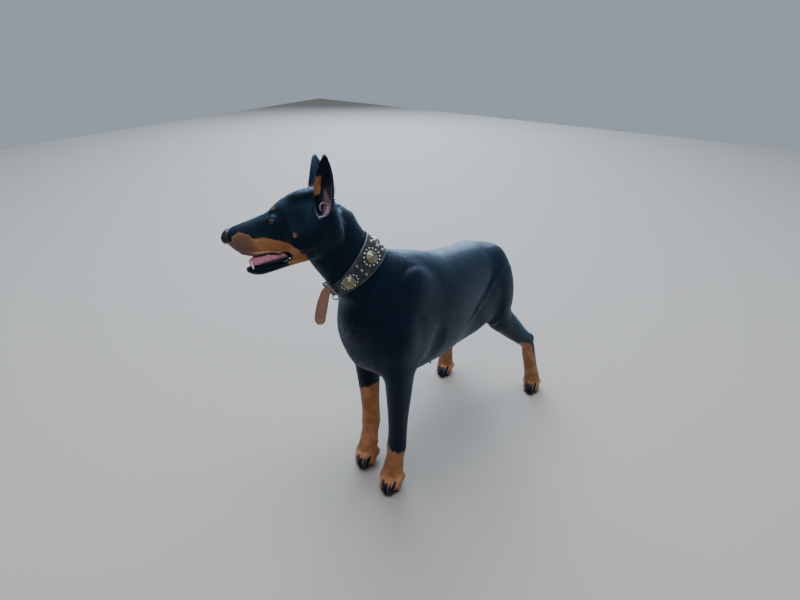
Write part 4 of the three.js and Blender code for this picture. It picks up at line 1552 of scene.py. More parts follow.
@dataclass(frozen=True)
class Coat(Finish):
    """Short glossy dog hair over skin: smooth dark fibres streaked along their lie, whose gloss and sheen
    carry a painted sky-blue reflection.
    """

    lie: tuple[float, float, float] = (0, 0, 0)
    upright_lie: tuple[float, float, float] = (0, 90, 0)
    rust_deep: str = "#5a341f"
    rust: str = "#9a6339"
    rust_pale: str = "#c79663"
    grizzle: str = "#57433c"
    # sky: the blue of the gloss and the sheen, a painted reflection of a blue sky, not a colour of the hair
    sky: str = "#86b4dc"

    def dress(self, tree: bpy.types.NodeTree, surface: bpy.types.Node) -> None:
        """Paints the markings with hair-fine edges, and gives the coat its streaks, its gloss and a painted
        sky-blue reflection in its gloss and sheen.

        Args:
            tree: the material's node tree.
            surface: the surface's shader.
        """
        # a hair is about 0.06 mm thick, too fine to show; streaks of 1 by 10 mm stand for locks of them
        flat_lock = streaks(tree, (10, 1.1, 1.1), self.lie)
        tall_lock = streaks(tree, (10, 1.1, 1.1), self.upright_lie, seed=4)
        lock = node(
            tree, "ShaderNodeMix", {"data_type": "FLOAT"},
            i0=paint(tree, "upright"), i2=flat_lock, i3=tall_lock
        ).outputs[0]
        cloud = streaks(tree, (34, 34, 34), detail=4, seed=9)
        ragged = maths(tree, "MULTIPLY", maths(tree, "SUBTRACT", lock, 0.5), 1.0)
        soft = maths(tree, "MULTIPLY", maths(tree, "SUBTRACT", cloud, 0.5), 0.35)

        def edged(name: str, low: float, high: float) -> bpy.types.NodeSocket:
            """Gives a painted marking with an edge of single locks.

            Args:
                name: the marking.
                low: the level at which it begins.
                high: the level from which it is full.

            Returns:
                How much of it shows.
            """
            level = maths(tree, "ADD", maths(tree, "ADD", paint(tree, name), ragged), soft)
            return node(tree, "ShaderNodeMapRange", Value=level, i1=low, i2=high).outputs["Result"]

        tone = maths(tree, "ADD", maths(tree, "MULTIPLY", lock, 0.45), maths(tree, "MULTIPLY", cloud, 0.55))
        rust = ramp(tree, tone, [(0.3, self.rust_deep), (0.5, self.rust), (0.72, self.rust_pale)])
        black = ramp(tree, lock, [(0.35, "#040507"), (0.7, self.code)])
        colour = mixed(tree, edged("rust", 0.28, 0.72), black, rust)
        colour = mixed(tree, edged("grey", 0.25, 0.75), colour, linear(self.grizzle))
        colour = mixed(tree, edged("dark", 0.34, 0.66), colour, linear("#0a0809"))
        bare = paint(tree, "bare")
        skin = maths(tree, "MULTIPLY", bare, maths(tree, "ADD", cloud, 0.45))
        pink = ramp(tree, skin, [(0.2, "#241a1d"), (0.5, "#6a5056"), (1.0, "#b0929a")])
        shown = maths(tree, "MULTIPLY", bare, 1.6, clamp=True)
        tree.links.new(mixed(tree, shown, colour, pink), surface.inputs["Base Color"])
        surface.inputs["Specular IOR Level"].default_value = 0.3
        # the gloss and the sheen are tinted sky blue: a painted sky reflection
        surface.inputs["Specular Tint"].default_value = linear(self.sky)
        surface.inputs["Sheen Weight"].default_value = 0.4
        surface.inputs["Sheen Roughness"].default_value = 0.35
        surface.inputs["Sheen Tint"].default_value = linear(self.sky)
        dry = node(
            tree, "ShaderNodeMapRange", Value=tone, i1=0.2, i2=0.8,
            i3=self.roughness - 0.08, i4=self.roughness + 0.1
        )
        wet = node(
            tree, "ShaderNodeMix", {"data_type": "FLOAT"}, i0=bare, i2=dry.outputs["Result"], i3=0.3
        ).outputs[0]
        tree.links.new(wet, surface.inputs["Roughness"])
        self.bump(tree, surface, lock, 0.0007, 0.6)


@dataclass(frozen=True)
class Grained(Finish):
    """A finish with small pebbles or grain of one size, in millimetres, and cloudy tone."""

    grain: float = 1.0
    depth: float = 0.2
    pale: str = "#808080"
    pebbled: bool = False

    def dress(self, tree: bpy.types.NodeTree, surface: bpy.types.Node) -> None:
        """Adds the grain and the change of tone.

        Args:
            tree: the material's node tree.
            surface: the surface's shader.
        """
        cloud = streaks(tree, (9, 9, 9), detail=5)
        grain = streaks(tree, (self.grain,) * 3, detail=2, seed=3)
        if self.pebbled:
            place = node(tree, "ShaderNodeTexCoord").outputs["Object"]
            cells = node(
                tree, "ShaderNodeTexVoronoi", Vector=place, Scale=1 / (self.grain * MM), Randomness=0.9
            )
            grain = maths(tree, "SUBTRACT", 1.0, cells.outputs["Distance"])
        worn = maths(tree, "ADD", cloud, paint(tree, "worn"))
        tree.links.new(ramp(tree, worn, [(0.42, self.code), (0.95, self.pale)]), surface.inputs["Base Color"])
        rough = node(
            tree, "ShaderNodeMapRange", Value=cloud, i1=0.3, i2=0.7,
            i3=self.roughness * 0.85, i4=self.roughness * 1.2
        )
        tree.links.new(rough.outputs["Result"], surface.inputs["Roughness"])
        self.bump(tree, surface, grain, self.depth * MM, 0.5)


@dataclass(frozen=True)
class EyeGlass(Finish):
    """A wet dark brown eye, ringed from the pupil outward."""

    def dress(self, tree: bpy.types.NodeTree, surface: bpy.types.Node) -> None:
        """Paints the pupil, the iris, its rim and the white.

        Args:
            tree: the material's node tree.
            surface: the surface's shader.
        """
        fibres = maths(tree, "MULTIPLY", maths(tree, "SUBTRACT", streaks(tree, (0.5, 0.5, 0.5)), 0.5), 0.12)
        ring = maths(tree, "ADD", paint(tree, "turn"), fibres)
        bands = [
            (0.3, "#010101"), (0.36, "#120904"), (0.55, "#2a150a"),
            (0.8, "#170b06"), (0.92, "#030202"), (1.0, "#2b221d")
        ]
        tree.links.new(ramp(tree, ring, bands), surface.inputs["Base Color"])
        surface.inputs["Coat Weight"].default_value = 1.0
        surface.inputs["Coat Roughness"].default_value = 0.02


@dataclass(frozen=True)
class Metal(Finish):
    """A cast metal, darker in its hollows, which are painted as worn below nought."""

    hollow: str = "#3a352c"

    def dress(self, tree: bpy.types.NodeTree, surface: bpy.types.Node) -> None:
        """Adds tarnish in the hollows and fine scratches.

        Args:
            tree: the material's node tree.
            surface: the surface's shader.
        """
        cloud = streaks(tree, (3, 3, 3), detail=5)
        level = maths(tree, "ADD", maths(tree, "MULTIPLY", cloud, 0.5), paint(tree, "worn"))
        tree.links.new(
            ramp(tree, level, [(0.1, self.hollow), (0.4, self.code)]), surface.inputs["Base Color"]
        )
        self.bump(tree, surface, streaks(tree, (2.5, 0.2, 0.2), (0, 0, 30)), 0.00003, 0.5)


# the coats' base colour #0a1622 is the hair's own black with a blue cast that partly paints the sky's
# reflection
TRUNK_COAT = Coat("short_glossy_hair", "coat", "#0a1622", 0.4, 1.55, lie=(0, 14, 0))
HEAD_COAT = Coat(
    "short_glossy_hair_of_the_head", "coat", "#0a1622", 0.4, 1.55, lie=(0, 17, 41), upright_lie=(0, 60, 41)
)
EYE_FINISH = EyeGlass("wet_eye", "eye", "#1d100a", 0.05, 1.38)
NOSE_FINISH = Grained(
    "moist_nose_leather", "nose", "#08090c", 0.32, 1.45,
    grain=0.8, depth=0.12, pale="#1d2026", pebbled=True
)
TONGUE_FINISH = Grained(
    "moist_tongue", "tongue", "#cf7d90", 0.3, 1.4, grain=0.9, depth=0.15, pale="#efb6c6", pebbled=True
)
ENAMEL = Grained("tooth_enamel", "claw", "#e3dbc6", 0.22, 1.6, grain=3.0, depth=0.02, pale="#f1ecdf")
CLAW_HORN = Grained("claw_horn", "claw", "#08080a", 0.25, 1.54, grain=0.7, depth=0.05, pale="#24201e")
COLLAR_LEATHER = Grained(
    "black_harness_leather", "collar_leather", "#121417", 0.36, 1.5, grain=0.7, depth=0.1, pale="#3a3f45"
)
STRAP_LEATHER = Grained(
    "tan_suede_leather", "strap_leather", "#866050", 0.7, 1.5, grain=0.5, depth=0.12, pale="#b08b78"
)
CONCHO_METAL = Metal("aged_nickel_silver", "concho", "#8d8972", 0.36, metallic=1.0)
STUD_METAL = Metal("bright_nickel", "concho", "#dedcd2", 0.38, metallic=1.0)
BUCKLE_METAL = Metal("worn_nickel_plate", "buckle", "#a7aaac", 0.24, metallic=1.0)


def attach(
    name: str, points: Array, faces: Sequence, finish: Finish, smooth: bool = True
) -> bpy.types.Object:
    """Makes a mesh object that rides on the dog.

    Args:
        name: its name.
        points: its points in metres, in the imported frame.
        faces: its faces.
        finish: its finish.
        smooth: whether it is shaded smooth.

    Returns:
        The object.
    """
    mesh = bpy.data.meshes.new(name)
    points = np.asarray(points, np.float32)
    if isinstance(faces, np.ndarray):
        width = faces.shape[1]
        mesh.vertices.add(len(points))
        mesh.vertices.foreach_set("co", points.ravel())
        mesh.loops.add(faces.size)
        mesh.loops.foreach_set("vertex_index", faces.astype(np.int32).ravel())
        mesh.polygons.add(len(faces))
        mesh.polygons.foreach_set("loop_start", np.arange(0, faces.size, width, dtype=np.int32))
        mesh.update(calc_edges=True)
    else:
        mesh.from_pydata(points.tolist(), [], [list(map(int, f)) for f in faces])
    mesh.validate()
    mesh.polygons.foreach_set("use_smooth", np.full(len(mesh.polygons), smooth))
    made = bpy.data.objects.new(name, mesh)
    bpy.context.scene.collection.objects.link(made)
    made.data.materials.append(finish.material())
    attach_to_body(made, "root")
    LOG.info("%s: %d faces", name, len(mesh.polygons))
    return made


def stain(made: bpy.types.Object, name: str, values: Array) -> None:
    """Paints an attribute on a mesh's points."""
    layer = made.data.attributes.new(name, "FLOAT", "POINT")
    layer.data.foreach_set("value", np.asarray(values, np.float32))


@dataclass
class Place:
    """Where the dog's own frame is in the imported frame."""

    shift: Array

    @classmethod
    def read(cls) -> "Place":
        """Finds the shift from an eye, whose place in the dog's frame is known.

        Returns:
            The place.
        """
        low, high = (np.array(v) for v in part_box("eye_left"))
        return cls((low + high) / 2 - HEAD.out(np.array([EYE_AT]))[0] * MM)

    def put(self, points: Array) -> Array:
        """Takes millimetres of the dog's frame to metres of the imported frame."""
        return np.asarray(points) * MM + self.shift


# Markings


class Markings:
    """Where the black and rust coat is rust, dark or bare. All values run from 0 to 1."""

    @staticmethod
    def legs(p: Array) -> dict[str, Array]:
        """Gives the markings of the body, the legs and the tail.

        Args:
            p: points of the dog's frame.

        Returns:
            Each marking by its name.
        """
        rust = np.zeros(len(p))
        dark = np.zeros(len(p))
        upright = step(430, 300, p[:, 2])
        for leg in LEGS:
            front, inside, gap = leg.around(p)
            near = (gap < LEG_REACH) & (p[:, 2] < 345) & (np.sign(-p[:, 1]) == leg.side)
            z = p[:, 2]
            if leg.name == "left_fore":
                limit = line_height(
                    [
                        (0, -1.6), (108, -1.6), (126, -0.5), (140, 0.3),
                        (152, 0.45), (200, 0.55), (250, 1.6)
                    ],
                    z
                )
                facing = inside * 0.9 - front * 0.35
            elif leg.fore:
                limit = line_height(
                    [(0, -1.6), (104, -1.6), (124, -0.75), (238, -0.6), (250, 0.2), (268, 1.6)], z
                )
                facing = inside * 0.9 + front * 0.2
            else:
                limit = line_height(
                    [
                        (0, -1.6), (66, -1.3), (90, -0.6), (150, -0.3),
                        (190, -0.1), (206, 0.15), (224, 0.6), (240, 1.6)
                    ],
                    z
                )
                facing = front * 0.95 + inside * 0.2
            own = step(limit - 0.22, limit + 0.22, facing)
            rust = np.where(near, own, rust)
            for k, (root, ahead, left, reach) in enumerate(leg.toes()):
                off = p - root
                along = off @ ahead - reach
                across = np.abs(off @ left)
                # black pencil marks down the toes; on the two toes on the dog's right side of each paw they
                # are wider, partly painted shade on that side of the paw
                wide = 5.6 if k > 1 else 4.2
                stripe = step(wide, wide - 2.4, across) * step(-18, -6, along) * step(40, 30, z)
                sole = step(9, 6, z)
                dark = np.where(near, np.maximum(dark, np.maximum(stripe, sole)), dark)
        for leg in LEGS[:2]:
            x, y, z = leg.joints[3]
            spot = np.linalg.norm((p - (x + 31, y, z - 32)) / (12, 10, 11), axis=1)
            dark = np.maximum(dark, step(1.1, 0.8, spot))
        vent = np.linalg.norm((p - (574, -24, 470)) / (30, 20, 28), axis=1)
        rust = np.maximum(rust, 0.85 * step(1.15, 0.85, vent) * step(484, 472, p[:, 2]))
        local = WITHERS.into(p)
        for side in SIDES:
            patch = np.linalg.norm((local - (176, side * 34, -170)) / (24, 17, 30), axis=1)
            rust = np.maximum(rust, 0.2 * step(1.2, 0.8, patch))
        return {
            "rust": rust, "dark": dark, "bare": np.zeros(len(p)),
            "grey": np.zeros(len(p)), "upright": upright
        }

    @staticmethod
    def head(q: Array) -> dict[str, Array]:
        """Gives the markings of the head.

        Args:
            q: points of the head's frame.

        Returns:
            Each marking by its name.
        """
        x, z, aside = q[:, 0], q[:, 2], np.abs(q[:, 1])
        edge = [
            (18, -108), (24, -87), (33, -69), (46, -49), (71, -33),
            (97, -18), (117, -15), (124, -2), (143, 11), (172, 2)
        ]
        top = line_height(edge, x)
        rust = step(top + 5, top - 5, z) * step(12, 22, x)
        brow = step(1.3, 0.6, np.hypot((x - 52) / 7, (z - 35) / 5)) * step(8, 14, aside)
        cheek = step(1.4, 0.6, np.hypot((x - 27) / 4, (z + 37) / 7)) * step(30, 40, aside)
        rust = np.maximum(rust, np.maximum(0.52 * brow, 0.6 * cheek))
        grey = np.maximum(0.62 * step(98, 132, x) * step(top + 4, top - 6, z), 0.5 * np.maximum(brow, cheek))
        dark = step(157, 165, x) * step(-8, 2, z)
        low = line_height([(row[0], row[2]) for row in SKULL_ROWS], x)
        lip = step(54, 62, x) * step(low + 6.5, low + 2.5, z) * step(-84, -74, z)
        jaw = step(60, 68, x) * step(-99, -94, z) * step(-60, -68, z)
        corner = step(15, 9, np.hypot(x - 62, z + 76)) * step(14, 20, aside)
        dark = np.maximum(dark, np.maximum(np.maximum(lip, jaw), corner))
        for at in ((142, 2), (128, -8), (134, -18), (120, -22), (112, -30), (124, -34), (40, -71)):
            spot = np.linalg.norm(q[:, [0, 2]] - at, axis=1)
            dark = np.maximum(dark, 0.6 * step(2.0, 1.0, spot) * step(12, 18, aside))
        mouth = Loft(PALATE_ROWS).distance(q)
        bare = step(1.9, 0.9, mouth) * step(0.5, 2.5, np.minimum(z - low + 9, 9))
        dark = dark * (1 - bare)
        for side in SIDES:
            eye = EyeAxes(side)
            out, along, up = eye.split(q)
            rim = np.hypot(along / 15.5, up / 9.5)
            dark = np.maximum(dark, step(1.15, 0.9, rim) * step(2, 6, out))
            ear = EarForm(side)
            back, ahead, half, depth, thick = ear.place(q)
            sizes = (np.maximum(size - thick - 1, 1) for size in (half, depth, depth))
            inner = oval_distance(back, np.minimum(ahead, 0), *sizes, np.array(2.0))
            cup = (
                step(1.6, 0.8, inner) * step(3, 0, ahead)
                * (q[:, 1] * side > 20) * step(-30, -26, z) * (x < -20)
            )
            place = back / half
            outer = oval_distance(back, ahead, half, depth, depth, np.array(2.0))
            rim = (
                step(-9, -5, ahead) * step(-0.45, -0.7, place)
                * step(4, 2, np.abs(outer)) * (q[:, 1] * side > 20) * (x < -20)
            )
            strip = np.maximum(rim * 0.45, cup * step(-0.28, -0.6, place)) * step(22, 36, z) * step(74, 58, z)
            rust = np.maximum(rust, strip)
            fold = np.min([form.distance(q) for form in HeadSkin.ear_folds(side)], axis=0)
            bare = np.maximum(bare, cup * (1 - strip) * step(-0.6, 0.1, place) * step(62, 30, z) * 0.6)
            uneven = 0.78 + 0.22 * np.sin(0.9 * x + 1.4 * z)
            bare = np.maximum(bare, step(1.6, 0.4, fold) * uneven)
            dark = np.maximum(dark, cup * (1 - strip) * (1 - bare) * 0.8)
        return {"rust": rust, "dark": dark, "bare": bare, "grey": grey, "upright": step(-10, -70, x)}


@dataclass
class Growth:
    """How the hair grows at places of a skin.

    It holds the hair's way, its length and width, how far its tips rise, and its place on the unwrap.
    """

    way: Array
    long: Array
    wide: Array
    rise: Array
    spread: Array


@dataclass
class Hair:
    """The lie of the coat: how hair grows on the body and on the head."""

    @staticmethod
    def body(p: Array, normal: Array) -> Growth:
        """Gives the hair of the trunk, the legs and the tail.

        Args:
            p: points of the dog's frame.
            normal: their directions outward.

        Returns:
            How the hair grows there.
        """
        x, y, z = p.T
        aside = np.abs(y - MIDLINE)

        def share(low: float, high: float, values: Array) -> Array:
            """Gives a smooth share as a column."""
            return step(low, high, values)[:, None]

        way = np.array([1, 0, -0.22]) + np.zeros((len(p), 3))
        way += share(40, -50, x) * share(600, 560, z) * ([0.3, 0, -1.0] - way)
        way += share(590, 650, z) * share(70, 30, x) * ([0.59, -0.27, -0.76] - way)
        way += share(440, 520, x) * ([0.45, 0, -0.85] - way)
        way += (
            share(400, 320, z) * ([0.1, 0, -1.0] - way)
            * np.maximum(share(60, 90, aside), share(300, 240, z))
        )
        way += share(60, 34, z) * ([-0.8, 0, -0.6] - way)
        leg_part, foot = step(400, 300, z), step(90, 50, z)
        behind = step(0.45, 0.8, normal[:, 0]) * step(560, 500, z) * step(90, 120, z) * step(240, 300, x)
        under = step(-0.6, -0.9, normal[:, 2]) * step(240, 270, z)
        front = step(-0.7, -0.95, normal[:, 0]) * step(40, 10, aside) * step(300, 330, z)
        broken = np.maximum(np.maximum(behind, under), front)
        long = (12 - 4 * leg_part - 3 * foot) * (1 + 0.35 * broken)
        wide = 2.0 - 0.5 * leg_part - 0.3 * foot
        return Growth(way, long, wide, 0.035 + 0.11 * broken, Hair.body_spread(p))

    @staticmethod
    def body_spread(p: Array) -> Array:
        """Unwraps the body: the trunk, the tail and each leg by length and girth, each in its own rectangle.

        Args:
            p: points of the dog's frame.

        Returns:
            Their places on the unwrap.
        """
        local = WITHERS.into(p)
        across = 0.5 + np.arctan2(local[:, 1], local[:, 2] + 180) / (2 * math.pi)
        spread = np.stack([0.02 + 0.56 * np.clip((300 - local[:, 0]) / 900, 0, 1), 0.02 + 0.56 * across], 1)
        tail = np.interp(p[:, 2], TAIL_HEIGHTS[0], TAIL_HEIGHTS[1])
        beside = p[:, 1] + 38
        hangs = (p[:, 0] > tail - 26) & (p[:, 0] > 566) & (np.abs(beside) < 30) & (p[:, 2] > 270)
        round_tail = 0.5 + np.arctan2(beside, p[:, 0] - tail) / (2 * math.pi)
        spread[hangs] = np.stack([0.62 + 0.16 * (p[:, 2] - 270) / 260, 0.62 + 0.16 * round_tail], 1)[hangs]
        for k, leg in enumerate(LEGS):
            front, inside, gap = leg.around(p)
            near = (gap < LEG_REACH) & (p[:, 2] < 330) & (np.sign(-p[:, 1]) == leg.side) & ~hangs
            girth = 0.5 + np.arctan2(inside, front) / (2 * math.pi)
            low = np.array([0.62 + 0.18 * (k % 2), 0.02 + 0.3 * (k // 2)])
            spread[near] = (low + np.stack([0.16 * girth, 0.27 * p[:, 2] / 330], 1))[near]
        return spread

    @staticmethod
    def head(q: Array, normal: Array) -> Growth:
        """Gives the hair of the head and the top of the neck.

        Args:
            q: points of the head's frame.
            normal: their directions outward.

        Returns:
            How the hair grows there.
        """
        x, y, z = q.T
        near_ear = np.minimum(*(EarForm(side).distance(q) for side in SIDES))
        ear = (step(26, 44, z) * step(9, 3, near_ear))[:, None]
        neck = (step(-70, -110, z) * step(20, -10, x))[:, None]
        way = np.array([-1, 0, -0.1]) + np.zeros((len(q), 3))
        way += neck * ([-0.75, 0, -0.65] - way)
        way += ear * ([-0.1, 0, 1.0] - way)
        muzzle = step(30, 90, x)
        edge = (
            ear[:, 0] * step(0.5, 0.9, np.abs(normal[:, 0]))
            + step(-0.7, -0.95, normal[:, 2]) * step(20, -20, x)
        )
        long = 8 + 3 * neck[:, 0] - 3.5 * muzzle - 2.5 * ear[:, 0]
        wide = 1.3 + 0.5 * neck[:, 0] - 0.4 * muzzle - 0.2 * ear[:, 0]
        girth = 0.5 + np.arctan2(y, z + 30) / (2 * math.pi)
        spread = np.stack([0.02 + 0.5 * np.clip((190 - x) / 360, 0, 1), 0.62 + 0.34 * girth], 1)
        for side in SIDES:
            back, out, *_ = EarForm(side).place(q)
            mine = (ear[:, 0] > 0.1) & (y * side > 0)
            turn = 0.5 + np.arctan2(out + 4, back) / (2 * math.pi)
            low = np.array([0.8, 0.8 if side > 0 else 0.62])
            spread[mine] = (low + np.stack([0.16 * turn, 0.16 * np.clip((z - 40) / 90, 0, 1)], 1))[mine]
        return Growth(way, long, wide, 0.03 + 0.05 * np.clip(edge, 0, 1), spread)


TAIL_HEIGHTS = tuple(zip(*sorted((z, x) for x, _, z in TAIL_POINTS)))


# the corners of a lock: a ring of three at its root, one halfway, and its tip; and their places on the unwrap
LOCK_FACES = np.array(
    [
        (0, 4, 1), (0, 3, 4), (1, 5, 2), (1, 4, 5), (2, 3, 0),
        (2, 5, 3), (3, 6, 4), (4, 6, 5), (5, 6, 3), (0, 1, 2)
    ]
)
LOCK_SPREAD = np.array([(-1, -1), (0, -1), (1, -1), (-1, 0), (0, 0), (1, 0), (0, 1)])


@dataclass
class Tufts:
    """Small locks of hair as closed slivers, lying on a skin along the coat."""

    points: Array
    faces: Array
    seed: int
    per_piece: int = 19500
    patch: float = 0.0015
    swing: float = 0.16
    tilt: float = 0.42

    def roots(
        self, count: int, share: Array, size: Callable[[Array, Array], Growth]
    ) -> tuple[Array, Array, Growth]:
        """Scatters roots evenly for the size of the hair.

        Args:
            count: how many.
            share: how thickly hair grows on each face.
            size: how the hair grows at points with their directions outward.

        Returns:
            The roots, their directions outward and their growth.
        """
        dice = np.random.default_rng(self.seed)
        a, b, c, d = (self.points[self.faces[:, k]] for k in range(4))
        normal = np.cross(c - a, d - b)
        area = np.linalg.norm(normal, axis=1) / 2
        middle = (a + b + c + d) / 4
        growth = size(middle, unit(normal))
        weight = area * share / (growth.long * growth.wide)
        pick = dice.choice(len(self.faces), count, p=weight / weight.sum())
        s, t = dice.random((2, count, 1))
        a, b, c, d = (corner[pick] for corner in (a, b, c, d))
        root = (a * (1 - s) + b * s) * (1 - t) + (d * (1 - s) + c * s) * t
        out = unit(normal[pick])
        return root, out, size(root, out)

    def build(
        self,
        name: str,
        count: int,
        share: Array,
        size: Callable[[Array, Array], Growth],
        paints: Callable[[Array], dict[str, Array]],
        put: Callable[[Array], Array],
        turn: Array,
        finish: Finish,
    ) -> None:
        """Makes the locks as joined meshes, each with the coat's markings and its unwrap.

        Args:
            name: name of the pieces.
            count: how many locks.
            share: how thickly hair grows on each face.
            size: how the hair grows.
            paints: the markings at points.
            put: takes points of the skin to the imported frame.
            turn: the skin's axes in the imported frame, as rows.
            finish: the coat's finish.
        """
        root, out, growth = self.roots(count, share, size)
        dice = np.random.default_rng(self.seed + 1)
        way = growth.way - out * np.sum(growth.way * out, axis=1, keepdims=True)
        flat = np.linalg.norm(way, axis=1, keepdims=True) / np.linalg.norm(growth.way, axis=1, keepdims=True)
        way = unit(way)
        side = np.cross(out, way)
        swing = dice.normal(0, self.swing, (count, 1))
        way, side = way * np.cos(swing) + side * np.sin(swing), side * np.cos(swing) - way * np.sin(swing)
        # hair whose lie runs into the skin is short
        long = growth.long[:, None] * dice.uniform(0.75, 1.25, (count, 1)) * np.clip(1.8 * flat, 0.2, 1)
        wide = growth.wide[:, None] * dice.uniform(0.8, 1.2, (count, 1)) / 2
        rise = long * growth.rise[:, None]
        rings = []
        for along, lift, broad, thick in ((0, -0.25, 0.7, 0.3), (0.45, 0.12, 1, 0.34)):
            foot = root + way * long * along + out * (lift + rise * along**2)
            rings += [foot - side * wide * broad, foot + out * thick, foot + side * wide * broad]
        rings.append(root + way * long + out * (0.1 + rise))
        places = np.stack(rings, 1)
        # the hairs of a lock lie side by side, so it shades as a low round strand
        tilt = side * self.tilt
        shading = np.stack([unit(out - tilt), out, unit(out + tilt)] * 2 + [unit(out - way * 0.1)], 1)
        spread = growth.spread[:, None] + LOCK_SPREAD * self.patch
        corners = len(LOCK_SPREAD)
        marks = paints(root)
        for k, first in enumerate(range(0, count, self.per_piece)):
            part = slice(first, min(first + self.per_piece, count))
            faces = (LOCK_FACES + corners * np.arange(part.stop - first)[:, None, None]).reshape(-1, 3)
            made = attach(f"{name}_{k + 1}", put(places[part].reshape(-1, 3)), faces, finish)
            for key, values in marks.items():
                stain(made, key, np.repeat(values[part], corners))
            made.data.normals_split_custom_set_from_vertices(shading[part].reshape(-1, 3) @ turn)
            layer = made.data.uv_layers.new(name="OFBake")
            layer.data.foreach_set(
                "uv", spread[part].reshape(-1, 2)[faces.ravel()].astype(np.float32).ravel()
            )


@dataclass
class Body:
    """The dog's body, from the collar back."""

    place: Place
    skin: BodySkin = field(default_factory=BodySkin)
    locks: int = 78000
    seed: int = 11
    coat_end: float = 3.4

    def build(self) -> None:
        """Makes and paints the body's skin and its coat."""
        points, faces = self.skin.build()
        made = attach("body_skin", self.place.put(points), faces, TRUNK_COAT)
        for name, values in Markings.legs(points).items():
            stain(made, name, values)
        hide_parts("torso", "neck", "tail", *(leg.name + "_leg" for leg in LEGS))
        middle = points[faces].mean(axis=1)
        plane, _ = collar_plane(self.coat_end)
        share = step(3, 6, middle[:, 2]) * (plane(middle) < 0)
        Tufts(points, faces, self.seed).build(
            "body_coat", self.locks, share, Hair.body, Markings.legs, self.place.put, np.eye(3), TRUNK_COAT
        )


@dataclass
class Head:
    """The dog's head."""

    place: Place
    skin: HeadSkin = field(default_factory=HeadSkin)
    locks: int = 19500
    seed: int = 23
    coat_end: float = 3.8

    def build(self) -> None:
        """Makes and paints the head's skin and its coat."""
        local, faces = self.skin.build()
        made = attach("head_skin", self.place.put(HEAD.out(local)), faces, HEAD_COAT)
        marks = Markings.head(local)
        for name, values in marks.items():
            stain(made, name, values)
        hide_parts("head", "lower_jaw", "ear_left", "ear_right")
        middle = local[faces].mean(axis=1)
        plane, _ = collar_plane(self.coat_end)
        share = (1 - step(0.05, 0.2, marks["bare"][faces].max(axis=1))) * (plane(HEAD.out(middle)) > 0)
        gum = step(136, 142, middle[:, 0]) * step(-92, -86, middle[:, 2]) * step(-60, -66, middle[:, 2])
        share *= step(160, 154, middle[:, 0]) * (1 - gum)
        share *= step(2, 6, Loft(PALATE_ROWS).distance(middle))
        for side in SIDES:
            eye = EyeAxes(side)
            share *= step(15, 19, np.linalg.norm(middle - eye.at - eye.out * 8, axis=1))
            ear = EarForm(side)
            share *= step(1, 3, ear.opening().distance(middle))
        Tufts(local, faces, self.seed).build(
            "head_coat", self.locks, share, Hair.head, Markings.head,
            lambda p: self.place.put(HEAD.out(p)), HEAD.axes(), HEAD_COAT
        )


# Small pieces


@dataclass
class Piece:
    """Closed surfaces over rings of points, gathered into one object."""

    points: list[Array] = field(default_factory=list)
    faces: list[list[int]] = field(default_factory=list)
    worn: list[Array] = field(default_factory=list)

    def add(self, rings: Array, loop: bool = False, worn: Optional[Array] = None) -> None:
        """Adds a surface over rings.

        Args:
            rings: rings of points, one after another.
            loop: whether the last ring joins the first. If not, the ends are closed.
            worn: a painted value for each ring.
        """
        count, width = rings.shape[:2]
        base = sum(len(p) for p in self.points)
        self.points.append(rings.reshape(-1, 3))
        values = np.zeros(count) if worn is None else np.asarray(worn, float)
        self.worn.append(np.repeat(values, width) if values.shape == (count,) else values.ravel())
        for i in range(count if loop else count - 1):
            a, b = base + i * width, base + (i + 1) % count * width
            self.faces += [[a + k, a + (k + 1) % width, b + (k + 1) % width, b + k] for k in range(width)]
        if not loop:
            self.faces.append([base + k for k in reversed(range(width))])
            self.faces.append([base + (count - 1) * width + k for k in range(width)])

    def turned(
        self, outline: Sequence[tuple[float, float]], frame: tuple[Array, Array, Array, Array], sides: int
    ) -> None:
        """Adds a turned shape that stands on a foot.

        Args:
            outline: radius and height of each ring, from the foot to the top.
            frame: the foot and the directions across, round and out.
            sides: points in each ring.
        """
        foot, across, around, out = frame
        angle = np.linspace(0, 2 * math.pi, sides, endpoint=False)
        ring = np.cos(angle)[:, None] * across + np.sin(angle)[:, None] * around
        rings = np.array([foot + out * height + ring * max(radius, 0.02) for radius, height in outline])
        heights = np.array([h for _, h in outline])
        level = (
            heights
            - np.interp(np.arange(len(heights)), [0, len(heights) - 1], [heights.min(), heights.max()])
        )
        self.add(rings, worn=np.clip(level * 0.2, -0.3, 0.3))

    def horn(
        self, root: Array, way: Array, over: Array, long: float, radii: tuple[float, float], curl: float
    ) -> None:
        """Adds a claw or a tooth: a tapering horn that curls down.

        Args:
            root: the middle of its foot.
            way: its direction at the root.
            over: the direction away from the curl.
            long: its length.
            radii: half its width and half its height at the root.
            curl: how far it turns, in radians.
        """
        rings = []
        side = unit(np.cross(way, over))
        over = np.cross(side, way)
        at = np.array(root, float)
        angle = np.linspace(0, 2 * math.pi, 16, endpoint=False)
        steps = np.linspace(0, 1, 14)
        for k, t in enumerate(steps):
            turn = curl * t
            ahead = way * math.cos(turn) - over * math.sin(turn)
            up = way * math.sin(turn) + over * math.cos(turn)
            if k:
                at = at + ahead * long * (t - steps[k - 1])
            size = (1 - t**1.8) ** 0.75 + 0.015
            rings.append(
                at + np.cos(angle)[:, None] * side * radii[0] * size
                + np.sin(angle)[:, None] * up * radii[1] * size
            )
        self.add(np.array(rings))

    def build(self, name: str, place: Place, finish: Finish, *replaced: str) -> bpy.types.Object:
        """Makes the object.

        Args:
            name: its name.
            place: where the dog's frame is.
            finish: its finish.
            replaced: the solids that it stands for.

        Returns:
            The object.
        """
        made = attach(name, place.put(np.concatenate(self.points)), self.faces, finish)
        stain(made, "worn", np.concatenate(self.worn))
        if replaced:
            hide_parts(*replaced)
        return made


